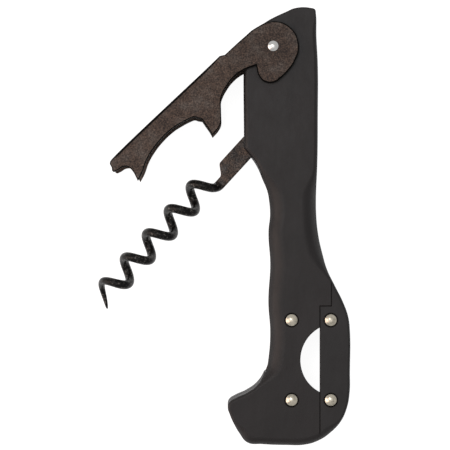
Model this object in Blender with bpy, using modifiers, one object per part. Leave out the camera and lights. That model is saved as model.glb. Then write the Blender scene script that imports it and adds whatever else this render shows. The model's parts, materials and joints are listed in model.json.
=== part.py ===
"""Waiter's corkscrew with a spring-loaded four-wheel foil cutter in the end of its handle.

It lies on its back: X runs across the handle, Y along it towards the head, and Z through its
thickness. Every size below is in millimetres, and MM turns it into Blender's metres.
"""

import math

import bmesh
import bpy
from mathutils import Matrix, Vector

MM = 0.001

# --- Thickness, from the table up. The handle is symmetric about its parting plane. ---
MID = 8.0  # height of the parting plane
HALF_HANDLE = 5.75  # parting plane to the outer face of a shell
HALF_PARTING = 0.1  # each shell stops this far short of the parting plane
CHEEK_CLEARANCE = 0.3  # between a shell's outer face and a lever cheek
SHEET = 1.25  # lever sheet
CHEEK_IN = HALF_HANDLE + CHEEK_CLEARANCE
CHEEK_OUT = CHEEK_IN + SHEET
THROUGH = (-2.0, 18.0)  # heights that a cut right through the object runs between
GAP = 0.3  # between solids that move on each other
SEAT_GAP = 0.1  # under a rivet's head
OVERRUN = 1.0  # how far a cut starts outside the solid it enters
BEYOND = 70.0  # clear of every piece, measured from a pivot or from the middle of the handle
SOFT_ANGLE = 35.0  # sharper edges than this are shaded as edges
DIAGONAL = math.sqrt(0.5)

# --- Handle ---
EDGE_GRIP = 4.3  # edge rounding where the fingers hold it
EDGE_HEAD = 1.2
EDGE_TIP = 0.5
EDGE_CUTTER = 0.8
EDGE_FOOT = 2.3
SHELL_WALL = 2.0
HOLLOWS = {  # weight-saving pockets in the shells: lower left and upper right corners
    "head_hollow": ((16.8, 31.0), (23.2, 43.5)),
    "upper_grip_hollow": ((16.2, 8.0), (22.8, 28.5)),
    "lower_grip_hollow": ((15.8, -14.5), (22.6, 5.5)),
}
GRIP_TOP = (16.0, 8.0)  # the grip's rounding grows between these, from the head down
FINGER_SIDE_END = (-38.0, -44.0)  # and fades between these on the hook's side
PALM_SIDE_END = (-6.0, -15.0)  # and between these on the jaw's side
PALM_SIDE = 20.0  # everything on the jaw's side of this counts as the palm's
FOOT = (-53.0, -57.0)  # the foot's rounding grows between these
HEAD_TIP = (54.0, 58.0)  # and the head's shrinks between these

# --- Lever: a folded sheet-steel channel. s runs from the pivot to its end, p towards the worm ---
LEVER_PIVOT = Vector((13.4, 49.35))
LEVER_ANGLE = 46.3  # degrees out from straight down the handle
WEB_LINE = -8.14  # outside of the folded web
WEB_START = 12.4
WEB_END = (53.6, 51.8)  # the fold's rounding grows between these, from the toe up
LEVER_BEND = 1.3  # outside radius of the fold
FOLD_BLEND = 0.6  # how soon the fold's rounding is reached
SHEET_EDGE = 0.2  # rounding of the blanked edges
LEVER_RIVET = 1.05  # shank radius
LEVER_RIVET_HEAD = 1.45
LEVER_RIVET_RISE = 0.6
HOLE_CLEARANCE = 0.25

# --- Worm ---
WORM_PIVOT = Vector((10.95, 26.95))
WORM_ANGLE = 42.4
WORM_OPEN = 72.0  # furthest angle that its slot in the head allows
WIRE = 1.24  # wire radius
COIL = 2.86  # helix radius to the wire's centre
PITCH = 9.06
TURNS = 4.5  # before the point, which is drawn out further
POINT = 4.76  # length of the point
POINT_PITCH = 11.2
COIL_START = 20.57  # from the pivot to where a full-pitch coil would begin
COIL_AXIS = -1.67  # the coil's axis is off the tang's centre line
LEAD = 3.0  # length over which the straight neck turns into the coil
TAPER = 7.7  # length over which the wire thins towards its end
TIP = 0.1  # share of its thickness that is left there
TANG_LENGTH = 14.95
HALF_TANG = 2.76
HALF_TANG_THICK = 1.2
WORM_PIN = 1.25  # radius
WORM_PIN_HALF = 4.4  # half its length
WORM_PIN_CHAMFER = 0.25
WASHER = 0.24  # thickness of a friction washer
WASHER_RADIUS = 2.6
WASHER_DISH = 0.08
WASHER_SPACE = 0.4  # beyond a washer, so that its dish can be pressed flat
NECK_END = 20.4  # where the tang's neck stops, from the pivot
TANG_MARGIN = 0.4  # slot clearance in the swinging plane

# --- Foil cutter ---
LIP_CENTRE = Vector((31.03, -36.6))  # the bottle's centre, when the jaw is open round it
LIP_RECESS = 14.5  # radius that the bottle's lip enters, from the back
LEDGE_RADIUS = 10.1  # window in the front shell, whose rim stops the lip
LEDGE_THICK = 2.2
TRAVEL = 14.25  # jaw travel
SEAM = 26.29  # main seam between handle and jaw
TONGUE_SEAM = 29.44  # seam beside the jaw's upper tongue
TONGUE_LINE = -21.76  # where the seam steps from one to the other
HALF_SEAM = 0.15
WHEEL_X = (18.53, 29.27)  # handle side, jaw side
WHEEL_RISE = 10.96  # of each wheel from the level of the bottle's centre
WHEEL_Y = {"upper": LIP_CENTRE.y + WHEEL_RISE, "lower": LIP_CENTRE.y - WHEEL_RISE}
WHEEL_RADIUS = 2.6
WHEEL_RIVET = 0.9
WHEEL_RIVET_HEAD = 1.62
WHEEL_RIVET_RISE = 0.7
WHEEL_HUB, WHEEL_HUB_HALF = 1.6, 0.6  # radius, and half its thickness
WHEEL_WEB, WHEEL_WEB_HALF = 1.72, 0.42  # where the bevel to the cutting edge begins
WHEEL_EDGE_HALF = 0.06
WHEEL_SPACE = (0.35, 0.95)  # pocket beyond the wheel's rim, and its half height
COUNTERBORE = 1.95
COUNTERBORE_DEPTH = 0.3
ROD = 1.0  # guide rod radius
ROD_CLEARANCE = 0.22
UPPER_ROD = -20.6  # height of each rod up the handle
LOWER_ROD = -53.2
UPPER_ROD_SPAN = (14.1, 31.0)  # its two ends
LOWER_ROD_SPAN = (5.2, 29.75)
ROD_HEAD, ROD_HEAD_THICK = 1.6, 0.75
ROD_CHAMFER = 0.2
CLIP_GROOVE = 0.7  # radius of the lower rod inside the clip
CLIP_RADIUS = 1.9
CLIP_FIT = 0.15  # the clip's bore is this much wider than the groove, and its mouth narrower
SPRING_POCKET = (4.8, 24.2)
SPRING_RADIUS = 1.55
SPRING_WIRE = 0.18
SPRING_TURNS = 6
SPRING_END = 6.95  # where the spring starts, next to the clip
CLIP = (6.12, 6.48)  # the clip's two faces

CORNER, SMOOTH = "VECTOR", "AUTO"

# Silhouette of handle and closed jaw together, counter-clockwise from the head's lower front corner.
BODY_OUTLINE = [
    (5.55, 21.6, CORNER),  # front of the head meets the finger scallop
    (8.85, 17.4, SMOOTH),
    (10.95, 12.4, SMOOTH),
    (12.2, 7.7, SMOOTH),
    (12.65, 3.45, SMOOTH),
    (12.05, -1.5, SMOOTH),  # shallow finger waves down the grip
    (12.72, -10.5, SMOOTH),
    (12.0, -21.0, SMOOTH),
    (12.7, -29.3, SMOOTH),
    (12.2, -35.9, SMOOTH),
    (11.1, -40.3, SMOOTH),
    (9.25, -43.45, SMOOTH),
    (6.2, -45.7, SMOOTH),  # thumb hook
    (3.05, -47.15, SMOOTH),
    (1.45, -48.25, SMOOTH),
    (1.0, -49.5, SMOOTH),
    (1.6, -51.7, SMOOTH),
    (2.7, -54.2, SMOOTH),
    (4.2, -56.9, SMOOTH),
    (6.4, -59.45, SMOOTH),
    (10.5, -59.9, SMOOTH),
    (17.0, -60.15, SMOOTH),
    (22.2, -60.05, SMOOTH),
    (25.9, -58.95, SMOOTH),
    (29.25, -56.75, SMOOTH),
    (31.95, -53.65, SMOOTH),
    (33.68, -49.9, SMOOTH),
    (34.47, -45.5, SMOOTH),
    (34.54, -40.0, SMOOTH),
    (34.54, -28.5, SMOOTH),
    (34.1, -24.8, SMOOTH),
    (32.65, -20.7, SMOOTH),
    (30.45, -16.3, SMOOTH),
    (28.4, -12.0, SMOOTH),
    (27.15, -7.4, SMOOTH),
    (26.1, -2.6, SMOOTH),
    (25.5, 3.0, SMOOTH),
    (25.45, 10.5, SMOOTH),
    (25.7, 21.0, SMOOTH),
    (25.75, 30.0, SMOOTH),
    (25.75, 44.5, SMOOTH),
    (25.38, 52.0, SMOOTH),
    (25.2, 58.5, SMOOTH),
    (24.95, 59.6, SMOOTH),
    (23.9, 60.0, SMOOTH),
    (19.6, 60.0, SMOOTH),
    (17.2, 59.05, SMOOTH),
    (10.4, 55.5, SMOOTH),
    (7.25, 52.7, SMOOTH),
    (5.85, 50.2, SMOOTH),
    (5.55, 47.3, SMOOTH),
]

# Side view of the lever, in (s, p).
LEVER_OUTLINE = [
    (-7.0, 0.0, SMOOTH),
    (-4.84, -4.84, SMOOTH),
    (0.0, -6.9, SMOOTH),
    (4.3, -7.25, SMOOTH),
    (11.2, -7.4, CORNER),
    (WEB_START, WEB_LINE, CORNER),  # the fold begins
    (53.2, WEB_LINE, SMOOTH),
    (54.4, -7.7, SMOOTH),
    (54.8, -6.6, SMOOTH),
    (55.35, -5.4, SMOOTH),  # toe
    (54.5, -4.9, SMOOTH),
    (52.5, -4.4, SMOOTH),
    (51.5, -3.45, SMOOTH),
    (51.4, -1.7, SMOOTH),
    (51.85, 0.0, SMOOTH),
    (52.2, 1.1, CORNER),  # end tooth
    (49.9, 0.35, SMOOTH),
    (46.7, -1.2, SMOOTH),
    (43.5, -2.15, SMOOTH),
    (39.7, -2.7, SMOOTH),
    (35.6, -2.65, SMOOTH),
    (32.7, -2.1, SMOOTH),
    (30.3, -1.4, SMOOTH),
    (29.1, -0.85, SMOOTH),
    (28.55, 0.05, SMOOTH),
    (27.9, 0.9, CORNER),
    (28.15, 2.4, SMOOTH),
    (28.5, 4.65, SMOOTH),
    (28.9, 6.15, CORNER),  # middle tooth
    (26.1, 5.85, SMOOTH),
    (24.7, 5.25, SMOOTH),
    (23.1, 3.6, SMOOTH),
    (21.5, 1.85, SMOOTH),
    (20.4, 0.7, SMOOTH),
    (18.8, -0.15, SMOOTH),
    (16.75, -0.8, SMOOTH),
    (14.05, -1.25, SMOOTH),
    (10.7, -0.95, SMOOTH),
    (6.95, 0.55, CORNER),
    (8.45, 3.35, SMOOTH),
    (8.3, 5.6, SMOOTH),
    (6.5, 7.4, SMOOTH),
    (4.5, 7.75, SMOOTH),
    (1.4, 7.7, SMOOTH),
    (-1.45, 7.1, SMOOTH),
    (-5.0, 5.0, SMOOTH),
]

# Side view of the worm's tang, in (s, p) from the worm's pivot.
TANG_OUTLINE = [
    (-HALF_TANG, 0.0, SMOOTH),
    (-HALF_TANG * DIAGONAL, -HALF_TANG * DIAGONAL, SMOOTH),
    (0.0, -HALF_TANG, SMOOTH),
    (TANG_LENGTH, -HALF_TANG, CORNER),
    (17.6, -0.12, CORNER),
    (NECK_END - 0.6, -0.1, CORNER),
    (NECK_END, 0.6, CORNER),
    (NECK_END - 0.2, 2.3, CORNER),
    (NECK_END - 0.9, 2.7, CORNER),
    (0.0, HALF_TANG, SMOOTH),
    (-HALF_TANG * DIAGONAL, HALF_TANG * DIAGONAL, SMOOTH),
]

FLAT_BLACK = (0.036, 0.033, 0.034)


# ---------------------------------------------------------------- scene and materials


def clear_scene():
    for obj in list(bpy.data.objects):
        bpy.data.objects.remove(obj, do_unlink=True)


def new_collection(name):
    made = bpy.data.collections.new(name)
    bpy.context.scene.collection.children.link(made)
    return made


def new_material(name, colour, roughness, metallic):
    made = bpy.data.materials.new(name)
    made.use_nodes = True
    shader = made.node_tree.nodes["Principled BSDF"]
    shader.inputs["Base Color"].default_value = (*colour, 1.0)
    shader.inputs["Roughness"].default_value = roughness
    shader.inputs["Metallic"].default_value = metallic
    return made


clear_scene()
PARTS = new_collection("waiters_corkscrew")
CUTTERS = new_collection("cutters")
PLASTIC = new_material("handle_plastic", FLAT_BLACK, 0.55, 0.0)
JAW_PLASTIC = new_material("jaw_plastic", (0.034, 0.032, 0.033), 0.55, 0.0)
COATED_STEEL = new_material("lever_coated_steel", (0.062, 0.050, 0.043), 0.65, 0.3)
WORM_STEEL = new_material("worm_steel", (0.030, 0.027, 0.026), 0.35, 0.6)
RIVET_NICKEL = new_material("rivet_nickel", (0.62, 0.56, 0.46), 0.28, 1.0)
PIVOT_STEEL = new_material("pivot_steel", (0.60, 0.58, 0.55), 0.30, 1.0)
WHEEL_STEEL = new_material("wheel_steel", (0.55, 0.55, 0.55), 0.22, 1.0)
GUIDE_STEEL = new_material("guide_steel", (0.50, 0.50, 0.50), 0.30, 1.0)
SPRING_STEEL = new_material("spring_steel", (0.35, 0.35, 0.36), 0.35, 1.0)


# ---------------------------------------------------------------- modelling helpers


def add_object(name, mesh, material=None, collection=None):
    obj = bpy.data.objects.new(name, mesh)
    (collection or PARTS).objects.link(obj)
    if material:
        mesh.materials.append(material)
    return obj


def as_cutter(obj):
    """Moves an object among the cutters, where nothing renders it."""
    for holder in list(obj.users_collection):
        holder.objects.unlink(obj)
    CUTTERS.objects.link(obj)
    obj.hide_render = True
    obj.display_type = "WIRE"
    return obj


def outline_points(outline, resolution):
    """Corner and smooth points, in millimetres, drawn as one closed Bezier and read back in metres."""
    curve = bpy.data.curves.new("outline", "CURVE")
    curve.dimensions = "2D"
    curve.fill_mode = "NONE"
    curve.resolution_u = resolution
    spline = curve.splines.new("BEZIER")
    spline.bezier_points.add(len(outline) - 1)
    spline.use_cyclic_u = True
    for point, (x, y, kind) in zip(spline.bezier_points, outline):
        point.co = (x * MM, y * MM, 0.0)
        point.handle_left_type = point.handle_right_type = kind
    drawn = bpy.data.objects.new("outline", curve)
    CUTTERS.objects.link(drawn)
    graph = bpy.context.evaluated_depsgraph_get()
    mesh = bpy.data.meshes.new_from_object(drawn.evaluated_get(graph))
    points = [vertex.co.to_2d() for vertex in mesh.vertices]
    bpy.data.objects.remove(drawn)
    bpy.data.curves.remove(curve)
    bpy.data.meshes.remove(mesh)
    return points


def prism(name, points, low, high, material=None):
    """An outline in metres, extruded between two heights in millimetres."""
    bm = bmesh.new()
    face = bm.faces.new([bm.verts.new((x, y, low * MM)) for x, y in points])
    grown = bmesh.ops.extrude_face_region(bm, geom=[face])["geom"]
    raised = [item for item in grown if isinstance(item, bmesh.types.BMVert)]
    bmesh.ops.translate(bm, verts=raised, vec=(0, 0, (high - low) * MM))
    bmesh.ops.recalc_face_normals(bm, faces=bm.faces)
    mesh = bpy.data.meshes.new(name)
    bm.to_mesh(mesh)
    bm.free()
    return add_object(name, mesh, material)


def polygon_cutter(name, corners, low, high):
    """A straight-sided prism that cuts, its corners in millimetres."""
    return as_cutter(prism(name, [Vector(c) * MM for c in corners], low, high))


def cylinder(name, centre, radius, low, high, sides=24, axis="Z"):
    """A cylinder that cuts. centre is (x, y) for a vertical one, and (y, z) for one along X."""
    bm = bmesh.new()
    bmesh.ops.create_cone(
        bm, cap_ends=True, segments=sides, radius1=radius * MM, radius2=radius * MM, depth=(high - low) * MM
    )
    mesh = bpy.data.meshes.new(name)
    bm.to_mesh(mesh)
    bm.free()
    obj = as_cutter(add_object(name, mesh))
    middle = (low + high) / 2
    if axis == "Z":
        obj.location = Vector((centre[0], centre[1], middle)) * MM
    else:
        obj.location = Vector((middle, centre[0], centre[1])) * MM
        obj.rotation_euler = (0.0, math.pi / 2, 0.0)
    return obj


def box_cutter(name, low, high):
    bm = bmesh.new()
    bmesh.ops.create_cube(bm, size=1.0)
    mesh = bpy.data.meshes.new(name)
    bm.to_mesh(mesh)
    bm.free()
    obj = as_cutter(add_object(name, mesh))
    low, high = Vector(low), Vector(high)
    obj.location = (low + high) / 2 * MM
    obj.scale = (high - low) * MM
    return obj


def boolean(obj, other, operation="DIFFERENCE"):
    modifier = obj.modifiers.new(other.name, "BOOLEAN")
    modifier.operation = operation
    modifier.object = other
    modifier.solver = "EXACT"


def cut(obj, cutters):
    for cutter in cutters:
        boolean(obj, cutter)


def turned(name, profile, steps, material):
    """Turns a profile of (radius, height) about local Z. Its outer side runs top to bottom."""
    closed = all(radius > 0 for radius, _ in profile)
    bm = bmesh.new()
    points = [bm.verts.new((radius * MM, 0.0, height * MM)) for radius, height in profile]
    for first, second in zip(points, points[1:] + points[:1] if closed else points[1:]):
        bm.edges.new((first, second))
    mesh = bpy.data.meshes.new(name)
    bm.to_mesh(mesh)
    bm.free()
    obj = add_object(name, mesh, material)
    screw = obj.modifiers.new("turn", "SCREW")
    screw.steps = screw.render_steps = steps
    screw.use_merge_vertices = True
    screw.merge_threshold = 0.00001
    return obj


def inward_normals(points):
    """For each point of a counter-clockwise outline, the way in, long enough to keep sides parallel."""
    normals = []
    for before, here, after in zip(points[-1:] + points[:-1], points, points[1:] + points[:1]):
        first, second = (here - before).normalized(), (after - here).normalized()
        along = (first + second).normalized()
        stretch = min(1.0 / max(along.dot(first), 0.1), 1.6)
        normals.append(Vector((-along.y, along.x)) * stretch)
    return normals


def rounded_rings(points, height, into, width_at, steps):
    """Rings down a rounded edge, from the flat face at one height to the full outline.

    into is 1 where the solid lies above that face and -1 where it lies below.
    """
    rings = []
    for k in range(steps + 1):
        angle = math.pi / 2 * k / steps
        ring = []
        for point, normal in zip(points, inward_normals(points)):
            width = width_at(point / MM) * MM
            x, y = point + normal * width * (1 - math.sin(angle))
            ring.append((x, y, height * MM + into * width * (1 - math.cos(angle))))
        rings.append(ring)
    return rings


def lofted(name, rings, material):
    """A closed solid through rings of the same number of points, its first and last rings capped."""
    bm = bmesh.new()
    rows = [[bm.verts.new(point) for point in ring] for ring in rings]
    for lower, upper in zip(rows, rows[1:]):
        for k, vertex in enumerate(lower):
            bm.faces.new((lower[k - 1], vertex, upper[k], upper[k - 1]))
    bm.faces.new(rows[0])
    bm.faces.new(rows[-1])
    bmesh.ops.recalc_face_normals(bm, faces=bm.faces)
    mesh = bpy.data.meshes.new(name)
    bm.to_mesh(mesh)
    bm.free()
    return add_object(name, mesh, material)


def smooth_step(value, start, end):
    t = min(max((value - start) / (end - start), 0.0), 1.0)
    return t * t * (3 - 2 * t)


def dome(radius, base, rise, steps=3):
    """(radius, height) down a low dome's outer side, from its top to its rim."""
    sphere = (radius * radius + rise * rise) / (2 * rise)
    widest = math.asin(radius / sphere)
    angles = [widest * i / steps for i in range(steps + 1)]
    return [(sphere * math.sin(a), base + rise - sphere * (1 - math.cos(a))) for a in angles]


def rivet(name, centre, shank, head, half_grip, rise, material):
    """A shank with a domed head at each end, its heads' undersides half_grip from the parting plane."""
    upper = dome(head, half_grip, rise)
    upper[0] = (0.0, half_grip + rise)
    profile = upper + [(shank, half_grip)]
    profile += [(radius, -height) for radius, height in reversed(profile)]
    obj = turned(name, profile, 16, material)
    obj.location = Vector((*centre, MID)) * MM
    return obj


# ---------------------------------------------------------------- handle and jaw shells


def edge_rounding(point):
    """Edge rounding round the body: full on the grip and the foot, less on the head and round the cutter."""
    on_grip = smooth_step(point.y, *GRIP_TOP)
    head = EDGE_HEAD + (EDGE_TIP - EDGE_HEAD) * smooth_step(point.y, *HEAD_TIP)
    fading = smooth_step(point.y, *(FINGER_SIDE_END if point.x < PALM_SIDE else PALM_SIDE_END))
    upper = head + (EDGE_GRIP - head) * on_grip
    lower = EDGE_CUTTER + (EDGE_FOOT - EDGE_CUTTER) * smooth_step(point.y, *FOOT)
    return upper + (lower - upper) * fading


def shell_blank(name, side, material):
    """Half of the body, in front of (side 1) or behind (side -1) the parting plane."""
    inner, outer = MID + side * HALF_PARTING, MID + side * HALF_HANDLE
    flat = [(x, y, inner * MM) for x, y in BODY_POINTS]
    rounded = rounded_rings(BODY_POINTS, outer, -side, edge_rounding, 4)
    return lofted(name, [flat, *reversed(rounded)], material)


def jaw_zone(name, shift):
    """Everything on the jaw's side of the seam, moved off the seam's middle line by shift."""
    seam, tongue, line = SEAM + shift, TONGUE_SEAM + shift, TONGUE_LINE - shift
    corners = [(seam, -BEYOND), (BEYOND, -BEYOND), (BEYOND, 0), (tongue, 0), (tongue, line), (seam, line)]
    return polygon_cutter(name, corners, *THROUGH)


def rivet_seats(name, x):
    """Holes, outer counterbores and wheel pockets for the two wheels at x."""
    floor = HALF_HANDLE - COUNTERBORE_DEPTH
    wheel_room, half_room = WHEEL_RADIUS + WHEEL_SPACE[0], WHEEL_SPACE[1]
    cutters = []
    for label, y in WHEEL_Y.items():
        where = f"{label}_{name}"
        cutters += [
            cylinder(f"{where}_hole", (x, y), WHEEL_RIVET + HOLE_CLEARANCE, *THROUGH, 16),
            cylinder(f"{where}_wheel_pocket", (x, y), wheel_room, MID - half_room, MID + half_room, 20),
            cylinder(f"{where}_front_seat", (x, y), COUNTERBORE, MID + floor, THROUGH[1]),
            cylinder(f"{where}_back_seat", (x, y), COUNTERBORE, THROUGH[0], MID - floor),
        ]
    return cutters


def worm_slot():
    """The slot that the tang swings in, from folded to fully open."""
    pivot, margin = WORM_PIVOT, HALF_TANG + TANG_MARGIN
    foot = pivot.y - NECK_END - TANG_MARGIN
    opened = math.radians(180 - WORM_OPEN)  # from pointing right, turned until square to the open tang
    arc = [opened * k / 8 for k in range(9)]
    rounded = [pivot + margin * Vector((math.cos(a), math.sin(a))) for a in arc]
    past_the_edge = 12.0
    mouth = rounded[-1] + past_the_edge * Vector((-math.sin(opened), math.cos(opened)))
    corners = [(pivot.x + margin, foot), *rounded, mouth, (mouth.x, foot)]
    thick = HALF_TANG_THICK + GAP
    return polygon_cutter("worm_slot", corners, MID - thick, MID + thick)


def worm_groove():
    """The round-bottomed trough down the grip that the folded coil lies in."""
    radius = COIL + WIRE + GAP
    axis_x = WORM_PIVOT.x + COIL_AXIS
    arc = [math.radians(90 - 180 * k / 12) for k in range(13)]
    section = [(axis_x + radius * math.cos(a), radius * math.sin(a)) for a in arc]
    outside = axis_x - 3 * radius
    section += [(outside, -radius), (outside, radius)]
    tip = WORM_PIVOT.y - COIL_START - TURNS * PITCH - POINT
    top = WORM_PIVOT.y - TANG_LENGTH + HALF_TANG
    groove = prism("worm_groove", [Vector(c) * MM for c in section], tip - OVERRUN, top)
    groove.data.transform(Matrix.Rotation(-math.pi / 2, 4, "X"))
    groove.location = (0.0, 0.0, MID * MM)
    return as_cutter(groove)


def handle_hollows():
    """Weight-saving pockets between the walls, with a rib left between each two."""
    deep = HALF_HANDLE - SHELL_WALL
    return [
        box_cutter(name, (*low, MID - deep), (*high, MID + deep)) for name, (low, high) in HOLLOWS.items()
    ]


def rod_bore(name, y, low, high):
    return cylinder(name, (y, MID), ROD + ROD_CLEARANCE, low, high, 16, axis="X")


def make_handle():
    front = shell_blank("handle_front_shell", 1, PLASTIC)
    back = shell_blank("handle_back_shell", -1, PLASTIC)
    centre = (LIP_CENTRE.x, LIP_CENTRE.y)
    ledge = MID + HALF_HANDLE - LEDGE_THICK
    pin_room = WORM_PIN_HALF + HOLE_CLEARANCE
    washer_room = HALF_TANG_THICK + WASHER + WASHER_SPACE
    spring_room = SPRING_RADIUS + SPRING_WIRE + GAP
    shared = [
        jaw_zone("jaw_space", -HALF_SEAM),
        cylinder("handle_lip_recess", centre, LIP_RECESS, THROUGH[0], ledge, 72),
        cylinder("lever_rivet_hole", LEVER_PIVOT, LEVER_RIVET + HOLE_CLEARANCE, *THROUGH),
        cylinder("worm_pin_hole", WORM_PIVOT, WORM_PIN + HOLE_CLEARANCE, MID - pin_room, MID + pin_room),
        cylinder("washer_space", WORM_PIVOT, HALF_TANG + TANG_MARGIN, MID - washer_room, MID + washer_room),
        worm_slot(),
        worm_groove(),
        rod_bore("upper_rod_bore", UPPER_ROD, UPPER_ROD_SPAN[0] - ROD_CLEARANCE, UPPER_ROD_SPAN[1]),
        rod_bore("lower_rod_bore", LOWER_ROD, SPRING_POCKET[1] - OVERRUN, SEAM + OVERRUN),
        box_cutter(
            "spring_pocket",
            (SPRING_POCKET[0], LOWER_ROD - spring_room, MID - spring_room),
            (SPRING_POCKET[1], LOWER_ROD + spring_room, MID + spring_room),
        ),
        *rivet_seats("handle", WHEEL_X[0]),
        *handle_hollows(),
    ]
    cut(front, shared + [cylinder("window", centre, LEDGE_RADIUS, MID, THROUGH[1], 72)])
    cut(back, shared)


def make_jaw():
    zone = jaw_zone("jaw_blank", HALF_SEAM)
    centre = (LIP_CENTRE.x - TRAVEL, LIP_CENTRE.y)
    ledge = MID + HALF_HANDLE - LEDGE_THICK
    head_room = ROD_HEAD + ROD_CLEARANCE
    head_low, head_high = LOWER_ROD_SPAN[1] - ROD_HEAD_THICK - GAP, LOWER_ROD_SPAN[1] + ROD_CLEARANCE
    shared = [
        cylinder("jaw_lip_recess", centre, LIP_RECESS, THROUGH[0], ledge, 72),
        rod_bore("upper_rod_socket", UPPER_ROD, SEAM - OVERRUN, UPPER_ROD_SPAN[1] + ROD_CLEARANCE),
        rod_bore("lower_rod_socket", LOWER_ROD, SEAM - OVERRUN, head_high),
        cylinder("lower_rod_head_seat", (LOWER_ROD, MID), head_room, head_low, head_high, 20, axis="X"),
        *rivet_seats("jaw", WHEEL_X[1]),
    ]
    for name, side in (("jaw_front_shell", 1), ("jaw_back_shell", -1)):
        shell = shell_blank(name, side, JAW_PLASTIC)
        boolean(shell, zone, "INTERSECT")
        cut(shell, shared)


# ---------------------------------------------------------------- lever


def make_lever():
    points = outline_points(LEVER_OUTLINE, 3)

    def rounding(point):
        if point.y > WEB_LINE + FOLD_BLEND:
            return SHEET_EDGE
        folded = smooth_step(point.x, WEB_START, WEB_START + FOLD_BLEND) * smooth_step(point.x, *WEB_END)
        return SHEET_EDGE + (LEVER_BEND - SHEET_EDGE) * folded

    back = rounded_rings(points, -CHEEK_OUT, 1, rounding, 3)
    front = rounded_rings(points, CHEEK_OUT, -1, rounding, 3)
    lever = lofted("lever", [*back, *reversed(front)], COATED_STEEL)

    web_in = WEB_LINE + SHEET
    corners = [(-BEYOND, -BEYOND), (WEB_START, -BEYOND), (WEB_START, web_in)]
    corners += [(BEYOND, web_in), (BEYOND, BEYOND), (-BEYOND, BEYOND)]
    channel = polygon_cutter("lever_channel", corners, -CHEEK_IN, CHEEK_IN)
    half_hole = CHEEK_OUT + OVERRUN
    hole = cylinder("lever_hole", (0, 0), LEVER_RIVET + HOLE_CLEARANCE, -half_hole, half_hole)
    cut(lever, [channel, hole])
    placed(lever, LEVER_PIVOT, LEVER_ANGLE)
    for cutter in (channel, hole):
        placed(cutter, LEVER_PIVOT, LEVER_ANGLE)


def make_lever_rivet():
    head = (LEVER_RIVET_HEAD, CHEEK_OUT + SEAT_GAP, LEVER_RIVET_RISE)
    rivet("lever_pivot_rivet", LEVER_PIVOT, LEVER_RIVET, *head, PIVOT_STEEL)


def placed(obj, pivot, angle):
    """Puts a swinging piece on its pivot, its length angle degrees out from straight down."""
    obj.location = Vector((*pivot, MID)) * MM
    obj.rotation_euler = (0.0, 0.0, math.radians(-90.0 - angle))


# ---------------------------------------------------------------- worm


def coil_angle(s):
    """The wire's turn, in radians, at a distance s from the pivot: none in the neck, then full pitch."""
    rate = 2 * math.pi / PITCH
    start = COIL_START - LEAD / 2
    if s < start:
        return 0.0
    if s < start + LEAD:
        return rate * (s - start) ** 2 / (2 * LEAD)
    into_point = max(0.0, s - COIL_START - TURNS * PITCH)
    return rate * (s - COIL_START - into_point) + 2 * math.pi / POINT_PITCH * into_point


def wire_centre(s):
    """The wire's centre line: a straight neck, the coil, and a point whose second half runs straight on."""
    turn = coil_angle(s)
    past_middle = turn - 2 * math.pi * (TURNS + 0.25)
    across = past_middle if past_middle > 0 else math.cos(turn)
    return Vector((s, COIL_AXIS + COIL * across, COIL * math.sin(turn)))


def worm_wire(per_turn):
    """The wire as a curve, thinning towards its point."""
    end = COIL_START + TURNS * PITCH + POINT
    lead_start = COIL_START - LEAD / 2
    step = PITCH / per_turn
    coiled = [lead_start + step * k for k in range(1, int((end - lead_start) / step) + 1)]
    stations = [NECK_END - LEAD, lead_start, *coiled, end]
    curve = bpy.data.curves.new("worm_wire", "CURVE")
    curve.dimensions = "3D"
    curve.bevel_depth = WIRE * MM
    curve.bevel_resolution = 2
    curve.use_fill_caps = True
    spline = curve.splines.new("POLY")
    spline.points.add(len(stations) - 1)
    for point, s in zip(spline.points, stations):
        point.co = (*(wire_centre(s) * MM), 1.0)
        left = (end - s) / TAPER
        point.radius = min(1.0, TIP + (1 - TIP) * math.sqrt(left))
    return curve


def mesh_of_curve(name, curve):
    """A curve's closed mesh, its loose caps welded on."""
    drawn = bpy.data.objects.new(name, curve)
    CUTTERS.objects.link(drawn)
    graph = bpy.context.evaluated_depsgraph_get()
    mesh = bpy.data.meshes.new_from_object(drawn.evaluated_get(graph))
    bpy.data.objects.remove(drawn)
    bpy.data.curves.remove(curve)
    bm = bmesh.new()
    bm.from_mesh(mesh)
    bmesh.ops.remove_doubles(bm, verts=bm.verts, dist=1e-6)
    bmesh.ops.recalc_face_normals(bm, faces=bm.faces)
    bm.to_mesh(mesh)
    bm.free()
    mesh.name = name
    return mesh


def make_worm():
    tang = prism("worm", outline_points(TANG_OUTLINE, 3), -HALF_TANG_THICK, HALF_TANG_THICK, WORM_STEEL)
    wire = as_cutter(add_object("worm_wire", mesh_of_curve("worm_wire", worm_wire(14))))
    half_hole = HALF_TANG_THICK + OVERRUN
    hole = cylinder("tang_hole", (0, 0), WORM_PIN + HOLE_CLEARANCE, -half_hole, half_hole)
    boolean(tang, wire, "UNION")
    cut(tang, [hole])
    for obj in (tang, wire, hole):
        placed(obj, WORM_PIVOT, WORM_ANGLE)


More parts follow.
